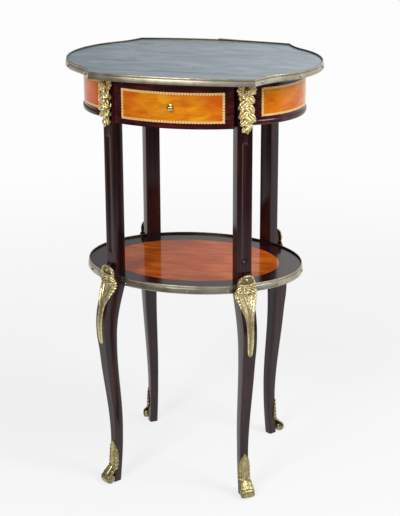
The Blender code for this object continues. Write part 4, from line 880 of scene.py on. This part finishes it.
def shell_faces(rows, columns):
    """Faces of a closed shell from two grids of points, the front and then the back."""
    shift = rows * columns
    faces = []
    for i in range(rows - 1):
        for j in range(columns - 1):
            a, d = i * columns + j, (i + 1) * columns + j
            b, c = a + 1, d + 1
            faces += [(a, b, c, d), (shift + d, shift + c, shift + b, shift + a)]
    for i in range(rows - 1):
        for j, turn in ((0, False), (columns - 1, True)):
            a, d = i * columns + j, (i + 1) * columns + j
            wall = (a, d, shift + d, shift + a)
            faces.append(tuple(reversed(wall)) if turn else wall)
    for j in range(columns - 1):
        for i, turn in ((0, True), (rows - 1, False)):
            a, b = i * columns + j, i * columns + j + 1
            wall = (a, b, shift + b, shift + a)
            faces.append(tuple(reversed(wall)) if not turn else wall)
    return faces


drop_gilt = chased_gilt("bright_ormolu_of_the_drops", "#e8cf86", "#fff2c0", "#6a5228", 0.34)
laurel_leaf = cast_shell("laurel_leaf", *leaf_shape(), drop_gilt)
unevenness = np.random.default_rng(7)
drop_leaves = []
for step, spread in enumerate(np.interp(range(9), [0, 2, 5, 8], [0.86, 1.06, 1.04, 0.66])):
    level = DROP_TOP - 0.0102 - 0.0075 * step
    over = 1 if step % 2 else -1
    for sign, out, root, lean, lift, length, broad in ((-over, 0.0006, 0.0016, 66, 8, 0.0140, 1.10),
                                                       (over, 0.0024, -0.0026, 50, 17, 0.0212, 1.12),
                                                       (-over, 0.0042, 0.0006, 16, 22, 0.0115, 1.00)):
        jog = unevenness.normal(0.0, 1.0, 3)
        drop_leaves.append((out, sign * root * spread, level, sign * (lean + 4 * jog[0]), lift + 3 * jog[1],
                            length * spread * (1 + 0.04 * jog[2]), broad))
for sign in (-1, 1):
    for lean, lift, length in ((118, 6, 0.0168), (94, 14, 0.0178), (70, 22, 0.0165)):
        drop_leaves.append((0.0028, sign * 0.0010, DROP_TOP - 0.0098, sign * lean, lift, length, 0.90))
    drop_leaves.append((0.0010, sign * 0.0020, DROP_TOP - 0.0680, sign * 24, 12, 0.0120, 0.85))
drop_leaves.append((0.0050, 0.0, DROP_TOP - 0.0050, 0, 20, 0.0125, 1.10))
drop_leaves.append((0.0024, 0.0, DROP_TOP - 0.0680, 4, 14, 0.0150, 0.66))


def join(meshes, target):
    """Puts the faces of several meshes into one of them."""
    work = bmesh.new()
    for mesh in meshes:
        work.from_mesh(mesh)
    work.to_mesh(target)
    work.free()


def drop_core():
    """The core behind the leaves: a tapering rounded bar, darkened all over with painted shade, which shows
    between them.
    """
    levels = np.linspace(DROP_TOP, DROP_TOP - 0.074, 25)
    half = np.interp(levels, [DROP_TOP - 0.074, DROP_TOP - 0.06, DROP_TOP - 0.012, DROP_TOP],
                     [0.0030, 0.0085, 0.0100, 0.0130])
    across = np.linspace(-1, 1, 13)
    front, back = [], []
    for z, width in zip(levels, half):
        for u in across:
            front.append((DROP_SEAT + 0.0030 * math.sqrt(max(0.0, 1 - u * u)) + 0.0002, u * width, z))
            back.append((DROP_SEAT - 0.0004, u * width, z))
    return front + back, shell_faces(len(levels), len(across)), [0.8] * (2 * len(levels) * len(across))


for corner in CORNERS:
    core = cast_shell("leaf_drop_core", *drop_core(), drop_gilt)
    places = [(DROP_SEAT + x, y, z) for x, y, z, *_ in drop_leaves]
    turns = [(math.radians(lean), -math.radians(lift), 0.0) for _, _, _, lean, lift, _, _ in drop_leaves]
    sizes = [(length, length * broad, length) for *_, length, broad in drop_leaves]
    drop = set_shapes("leaf_drop_" + corner, laurel_leaf, places, turns, sizes, 1.0, drop_gilt)
    join((core.data, drop.data), drop.data)
    bpy.data.objects.remove(core)
    drop.data.transform(leg_place(corner))
    fit(drop, "table", "gilt", "chute_" + corner)
bpy.data.objects.remove(laurel_leaf)


# Knee mounts: cast ormolu, an arched cartouche with a bead over a pair of acanthus leaves, running down the
# knee in a long hollowed tail. They are chased all over and pinned to the leg.

KNEE_TOP, KNEE_LENGTH = 0.4173, 0.144
KNEE_STATIONS = [0, 1.5, 4, 8, 13, 17, 20, 23, 27, 31, 35, 39, 45, 52, 60, 70, 80, 90, 105,
                 125, 138, 142, 144]
KNEE_HALF_WIDTHS = [2.4, 7.0, 11.6, 15.0, 16.8, 16.6, 16.0, 17.0, 19.8, 21.4, 21.2, 20.6, 19.0, 16.4, 12.8,
                    8.8, 7.4, 6.9, 6.4, 5.8, 4.8, 3.0, 0.6]


def smooth_step(low, high, value):
    share = np.clip((value - low) / (high - low), 0, 1)
    return share * share * (3 - 2 * share)


def blurred(grid, times):
    """Local mean of a grid, by repeated averaging with its neighbours."""
    for _ in range(times):
        padded = np.pad(grid, 1, mode="edge")
        grid = (padded[:-2, 1:-1] + padded[2:, 1:-1] + padded[1:-1, :-2] + padded[1:-1, 2:] + grid) / 5
    return grid


def relief_shell(levels, half_widths, heights, painted_shade, seat, sink):
    """A cast shell on a seat surface: heights above it at each level and across each width, dark with painted
    shade where the given marks say, where it lies lower than what is round it, and on its back."""
    reach = np.linspace(-1, 1, heights.shape[1])[None, :] * half_widths[:, None]
    z = np.repeat(levels[:, None], heights.shape[1], axis=1)
    x, y, lean = seat(reach, z)
    out_x, out_y = np.cos(lean), np.sin(lean)
    front = np.stack([x + heights * out_x, y + heights * out_y, z], axis=-1).reshape(-1, 3)
    back = np.stack([x - sink * out_x, y - sink * out_y, z], axis=-1).reshape(-1, 3)
    # Painted shade: in what lies lower than its surroundings, at the given marks, and over the whole back.
    sunk = np.clip((blurred(heights, 10) - heights) / 0.0007, 0, 1)
    hollow = np.concatenate([np.maximum(sunk, painted_shade).ravel(), np.full(sunk.size, 0.6)])
    return np.concatenate([front, back]), shell_faces(*heights.shape), hollow


def knee_seat(reach, z):
    """The leg's outer face, from which the mount's edges fall away past the arrises; above the shelf the
    mount stands clear of the post."""
    past = np.clip(np.abs(reach) - 0.0105, 0, None)
    return leg_outer(np.minimum(z, SHELF_TOP)) - 0.8 * past ** 1.2, reach, np.zeros_like(reach)


def knee_relief():
    """Levels, half widths, heights and painted shade of the knee mount, from millimetres down and across it.
    """
    down = np.linspace(0, KNEE_LENGTH * 1000, 360)
    half = np.interp(down, KNEE_STATIONS, KNEE_HALF_WIDTHS)
    ribbed = smooth_step(15, 20, down) * (1 - smooth_step(52, 62, down))
    half = half * (1 + 0.045 * ribbed * np.cos(2 * math.pi * (down - 19) / 5.2))
    s, u = np.meshgrid(down, np.linspace(-1, 1, 97), indexing="ij")
    y = u * half[:, None]
    from_edge = np.minimum(half[:, None] - np.abs(y), s + 0.2)
    upper = 1 - smooth_step(15.0, 18.0, s)
    lower = smooth_step(32.0, 34.0, s + 0.008 * y ** 2)
    ridge = 3.4 * np.exp(-((from_edge - 2.3) / 1.7) ** 2)
    ridge *= 1 + 0.14 * np.cos(2 * math.pi * (s + np.abs(y)) / 4.2)
    around = np.arctan2(y, 17.0 - s)
    palmette = 1.5 * np.abs(np.cos(3.5 * around)) * smooth_step(2.5, 5.0, np.hypot(17.0 - s, y))
    bead = 3.4 * np.sqrt(np.clip(1 - ((s - 9.0) ** 2 + y ** 2) / 3.0 ** 2, 0, 1))
    cartouche = 0.4 + np.maximum(np.maximum(ridge, bead), palmette)
    sill = 2.4 * np.exp(-((s - 17.5 + 0.012 * y ** 2) / 1.5) ** 2)
    folds = np.abs(np.sin(math.pi * (s - 0.5 * np.abs(y)) / 4.4)) * smooth_step(0.12, 0.35, np.abs(u))
    leaves = 1.5 + 2.0 * folds + 1.8 * np.exp(-(u / 0.16) ** 2)
    lip = 1.9 * np.exp(-((s - 31.5 + 0.008 * y ** 2) / 1.3) ** 2)
    wide = 1 - smooth_step(50, 74, s)
    tail = 1.2 + 1.6 * np.exp(-((np.abs(u) - 0.66) / 0.24) ** 2) - 1.1 * (1 - wide) * np.exp(-(u / 0.34) ** 2)
    flutes = 0.45 * np.cos(2 * math.pi * (np.abs(y) + 0.22 * s) / 4.4)
    tail += wide * (1.5 * np.exp(-(u / 0.16) ** 2) + flutes)
    tail *= 1 - 0.3 * smooth_step(90, 144, s)
    heights = upper * cartouche + (1 - upper) * (1 - lower) * leaves + lower * tail + sill + lip
    heights *= np.clip(1 - np.abs(u) ** 14, 0, 1) ** 0.5 * np.clip(s / 1.2, 0, 1) ** 0.5
    heights *= np.clip((KNEE_LENGTH * 1000 - s) / 1.2, 0, 1) ** 0.5
    # Painted shade inside the cartouche's frame and down the middle of the hollowed tail.
    painted_shade = 0.50 * upper * smooth_step(3.8, 4.8, from_edge) * (bead < 0.4) * (sill < 1.2)
    painted_shade += 0.45 * lower * (1 - wide) * np.exp(-(u / 0.4) ** 2)
    return KNEE_TOP - down / 1000, half / 1000, heights / 1000, painted_shade


ormolu = chased_gilt("fire_gilt_ormolu", "#bfab74", "#ecdfb2", "#453519", 0.32)
knee_shape = relief_shell(*knee_relief(), knee_seat, 0.0009)
for corner in CORNERS:
    mount = cast_shell("knee_mount_cast_" + corner, *knee_shape, ormolu)
    mount.data.transform(leg_place(corner))
    fit(mount, "table", "gilt", "knee_mount_" + corner)


# Sabots: cast ormolu shoes, a ribbed leaf with serrated edges up the front of each foot that rolls over at
# the bottom into a round scroll toe. They are pinned to the foot.

SABOT_TOP = 0.080
SABOT_FLAT, SABOT_ROUND = 0.0056, 0.0028
SCROLL_RADIUS, SCROLL_HALF_WIDTH, SCROLL_X = 0.0095, 0.0112, 0.0300
SABOT_STATIONS = [0, 1, 4, 9, 16, 26, 40, 52, 60, 66, 70]
SABOT_HALF_WIDTHS = [0.6, 1.8, 4.2, 6.8, 9.4, 11.6, 12.6, 13.0, 12.8, 12.6, 12.2]


def sabot_seat(reach, z):
    """The foot's outer face, turning round its arrises and back along its flanks, and rolling out over the
    scroll at the bottom."""
    past = np.clip(np.abs(reach) - SABOT_FLAT, 0, None)
    turn = np.clip(past / SABOT_ROUND, 0, math.pi / 2)
    along_flank = np.clip(past - SABOT_ROUND * math.pi / 2, 0, None)
    face = leg_outer(z) - SABOT_ROUND * (1 - np.cos(turn)) - along_flank
    aside = np.sign(reach) * (np.minimum(np.abs(reach), SABOT_FLAT) + SABOT_ROUND * np.sin(turn))
    roll = smooth_step(0.034, 0.012, z)
    x = face * (1 - roll) + (SCROLL_X + 0.002) * roll
    return x, aside * (1 - roll) + reach * roll, np.sign(reach) * turn * (1 - roll)


def sabot_relief():
    """Levels, half widths, heights and painted shade of the leaf, from millimetres down and across it."""
    down = np.linspace(0, 70, 300)
    half = np.interp(down, SABOT_STATIONS, SABOT_HALF_WIDTHS)
    serrated = smooth_step(4, 10, down) * (1 - smooth_step(58, 66, down))
    half = half * (1 + 0.13 * serrated * (np.abs(np.sin(math.pi * down / 7.0)) - 0.6))
    s, u = np.meshgrid(down, np.linspace(-1, 1, 85), indexing="ij")
    folds = np.abs(np.sin(math.pi * (s + 7 * np.abs(u)) / 7.0))
    side = smooth_step(0.30, 0.55, np.abs(u))
    heights = 1.7 + 1.3 * folds * side + 1.3 * np.exp(-(u / 0.10) ** 2) * smooth_step(0, 12, s)
    heights += 0.6 * np.exp(-((np.abs(u) - 0.34) / 0.08) ** 2)
    heights *= 0.75 + 0.35 * smooth_step(0, 40, s)
    heights *= np.clip(1 - np.abs(u) ** 10, 0, 1) ** 0.5 * np.clip(s, 0, 1) ** 0.5
    # Painted shade over the leaf's sides, where it turns round the foot's arrises.
    return SABOT_TOP - down / 1000, half / 1000, heights / 1000, 0.25 * side


def scroll_toe():
    """The volute: a drum on a level axis, lobed round its rim, with a spiral worked on both ends."""
    angles = np.linspace(0, 2 * math.pi, 96, endpoint=False)
    stations = [(0.0, 0.70), (0.22, 0.80), (0.42, 0.84), (0.60, 0.86), (0.74, 0.90), (0.86, 0.96),
                (0.95, 0.86), (1.0, 0.62), (0.98, 0.3), (1.02, 0.0)]
    stations += [(share, -place) for share, place in reversed(stations[:-1])]
    rings, hollow = [], []
    for share, place in stations:
        ring = []
        for a in angles:
            turn = (share * 2.0 + a / (2 * math.pi)) % 1.0
            ridge = math.cos(2 * math.pi * turn) if 0.05 < share < 0.9 and abs(place) > 0.5 else 0.0
            lobe = 0.06 * abs(math.cos(4 * a)) if abs(place) < 0.7 else 0.0
            radius = SCROLL_RADIUS * share * (0.90 + lobe)
            across = SCROLL_HALF_WIDTH * place + math.copysign(0.0008 * ridge, place)
            ring.append((SCROLL_X + radius * math.cos(a), across, SCROLL_RADIUS + radius * math.sin(a)))
            # Painted shade in the spiral's groove on the ends, round the drum's edges and between its lobes.
            groove = 0.3 - 0.3 * ridge if abs(place) > 0.5 and share < 0.9 else 0.35 - 5 * lobe
            hollow.append(min(1.0, max(0.0, groove)))
        rings.append(ring)
    points, faces = loft(rings)
    return points, faces, hollow


# A darker copy of the gilt for the feet: its darkness is painted shade.
feet_gilt_in_painted_shade = chased_gilt("gilt_of_the_feet_in_painted_shade", "#8f8256", "#cabd8c", "#30261a", 0.34)
sabot_shape = relief_shell(*sabot_relief(), sabot_seat, 0.0008)
for corner in CORNERS:
    sabot = cast_shell("sabot_cast_" + corner, *sabot_shape, feet_gilt_in_painted_shade)
    scroll = cast_shell("sabot_scroll", *scroll_toe(), feet_gilt_in_painted_shade)
    join((sabot.data, scroll.data), sabot.data)
    bpy.data.objects.remove(scroll)
    sabot.data.transform(leg_place(corner))
    fit(sabot, "table", "gilt", "sabot_" + corner)


# Stage: a plain pale matt floor that runs out of sight, a large soft lamp to the left of the camera, a weaker
# one to the right, and the camera where the photographer stood. What gloss sees of the room goes darker to
# the left and behind the camera, as it does in the photo.

FLOOR_HALF = 12.0
FLOOR_GLOW = 0.74
CAMERA_PLACE = (0.58592, -2.40277, 1.23920)
CAMERA_RIGHT = (0.97267, 0.23218, -0.00325)
CAMERA_UP = (-0.07214, 0.31543, 0.94620)
CAMERA_FORWARD = (-0.22071, 0.92011, -0.32356)
FOCAL_PIXELS, IMAGE_HEIGHT, SENSOR = 1447.08, 516, 36.0

def seen_rays(tree):
    """The kinds of a ray, and whether it shows a surface: to the camera, in a gloss or in glass."""
    kinds = add_node(tree, "ShaderNodeLightPath").outputs
    mirrored = add_node(tree, "ShaderNodeMath", {0: kinds["Is Camera Ray"], 1: kinds["Is Glossy Ray"]},
                        operation="MAXIMUM")
    seen = add_node(tree, "ShaderNodeMath", {0: mirrored, 1: kinds["Is Transmission Ray"]},
                    operation="MAXIMUM")
    return kinds, seen


floor_finish, tree, shader, floor_place = new_finish("matt_pale_floor")
floor_tone = add_node(tree, "ShaderNodeTexNoise", {"Vector": floor_place, "Scale": 1 / 0.8, "Detail": 1.0})
floor_colour = add_node(tree, "ShaderNodeValToRGB", {"Fac": floor_tone},
                        stops=[(0.3, "#f1f2f3"), (0.7, "#f5f5f6")])
set_inputs(tree, shader, {"Base Color": floor_colour, "Roughness": 0.9,
                          "Specular IOR Level": 0.1})
floor_rays, floor_seen = seen_rays(tree)
floor_away = add_node(tree, "ShaderNodeVectorMath", {0: floor_place}, operation="LENGTH")
floor_level = add_node(tree, "ShaderNodeMapRange", {"Value": floor_away.outputs["Value"], "From Min": 0.5,
                                                    "From Max": 2.2, "To Min": FLOOR_GLOW, "To Max": 0.97},
                       interpolation_type="SMOOTHSTEP")
floor_share = add_node(tree, "ShaderNodeMath", {0: floor_seen, 1: floor_level},
                       operation="MULTIPLY")
floor_split = add_node(tree, "ShaderNodeSeparateXYZ", {"Vector": floor_place})
floor_far = add_node(tree, "ShaderNodeMapRange", {"Value": floor_away.outputs["Value"], "From Min": 1.0,
                                                  "From Max": 2.0, "To Min": 0.0, "To Max": -0.92})
floor_front = add_node(tree, "ShaderNodeMapRange", {"Value": floor_split.outputs["Y"], "From Min": -0.3,
                                                    "From Max": 0.3, "To Min": 1.0, "To Max": 0.0})
floor_edge = add_node(tree, "ShaderNodeMath", {0: floor_far, 1: floor_front},
                      operation="MULTIPLY")
floor_dim = add_node(tree, "ShaderNodeMath", {0: floor_rays["Is Glossy Ray"],
                                              1: floor_edge, 2: 1.0},
                     operation="MULTIPLY_ADD")
glow = add_node(tree, "ShaderNodeEmission", {"Strength": floor_dim})
paper = add_node(tree, "ShaderNodeMixShader", {0: floor_share, 1: shader.outputs["BSDF"],
                                               2: glow})
set_inputs(tree, tree.nodes["Material Output"], {"Surface": paper})
floor_mesh = bpy.data.meshes.new("floor")
floor_corners = [(x * FLOOR_HALF, y * FLOOR_HALF, 0) for x, y in ((-1, -1), (1, -1), (1, 1), (-1, 1))]
floor_mesh.from_pydata(floor_corners, [], [(0, 1, 2, 3)])
floor_mesh.materials.append(floor_finish)
add_object("floor", floor_mesh)

world = bpy.data.worlds.new("studio")
bpy.context.scene.world = world
world.use_nodes = True
tree = world.node_tree
sky = tree.nodes["Background"]
rays, seen = seen_rays(tree)
level = add_node(tree, "ShaderNodeMapRange", {"Value": seen, "To Min": 0.62, "To Max": 0.95})
direction = add_node(tree, "ShaderNodeSeparateXYZ",
                     {"Vector": add_node(tree, "ShaderNodeTexCoord").outputs["Generated"]})
behind = add_node(tree, "ShaderNodeMapRange",
                  {"Value": direction.outputs["Y"], "From Min": -0.9, "From Max": 0.1, "To Min": 0.42},
                  interpolation_type="SMOOTHSTEP")
sideways = add_node(tree, "ShaderNodeMapRange",
                    {"Value": direction.outputs["X"], "From Min": -0.38, "From Max": -0.05, "To Min": 0.30},
                    interpolation_type="SMOOTHSTEP")
around = add_node(tree, "ShaderNodeMath", {0: sideways, 1: behind},
                  operation="MULTIPLY")
shown = add_node(tree, "ShaderNodeMath", {0: around, 1: rays["Is Camera Ray"]},
                 operation="MAXIMUM")
strength = add_node(tree, "ShaderNodeMath", {0: level, 1: shown},
                    operation="MULTIPLY")
set_inputs(tree, sky, {"Color": linear("#fbfcff"), "Strength": strength})


def soft_lamp(name, place, aim, size, power, code):
    """A square soft box turned towards a point."""
    lamp = bpy.data.lights.new(name, "AREA")
    lamp.size = size
    lamp.energy = power
    lamp.color = linear(code)[:3]
    stand = add_object(name, lamp)
    stand.location = place
    stand.rotation_euler = (Vector(aim) - Vector(place)).to_track_quat("-Z", "Y").to_euler()


soft_lamp("soft_box_front", (-0.7, -2.7, 2.2), (0, 0, 0.4), 0.9, 46.0, "#fffdf8")
soft_lamp("soft_box_right", (1.5, -0.55, 1.9), (0, 0, 0.5), 0.8, 22.0, "#fbfdff")

camera_data = bpy.data.cameras.new("camera")
camera_data.sensor_width = SENSOR
camera_data.lens = FOCAL_PIXELS * SENSOR / IMAGE_HEIGHT
camera = add_object("camera", camera_data)
axes = (Vector(CAMERA_RIGHT), Vector(CAMERA_UP), -Vector(CAMERA_FORWARD), Vector(CAMERA_PLACE))
camera.matrix_world = Matrix([[axis[row] for axis in axes] for row in range(3)] + [[0, 0, 0, 1]])
bpy.context.scene.camera = camera
bpy.context.scene.view_settings.view_transform = "Standard"
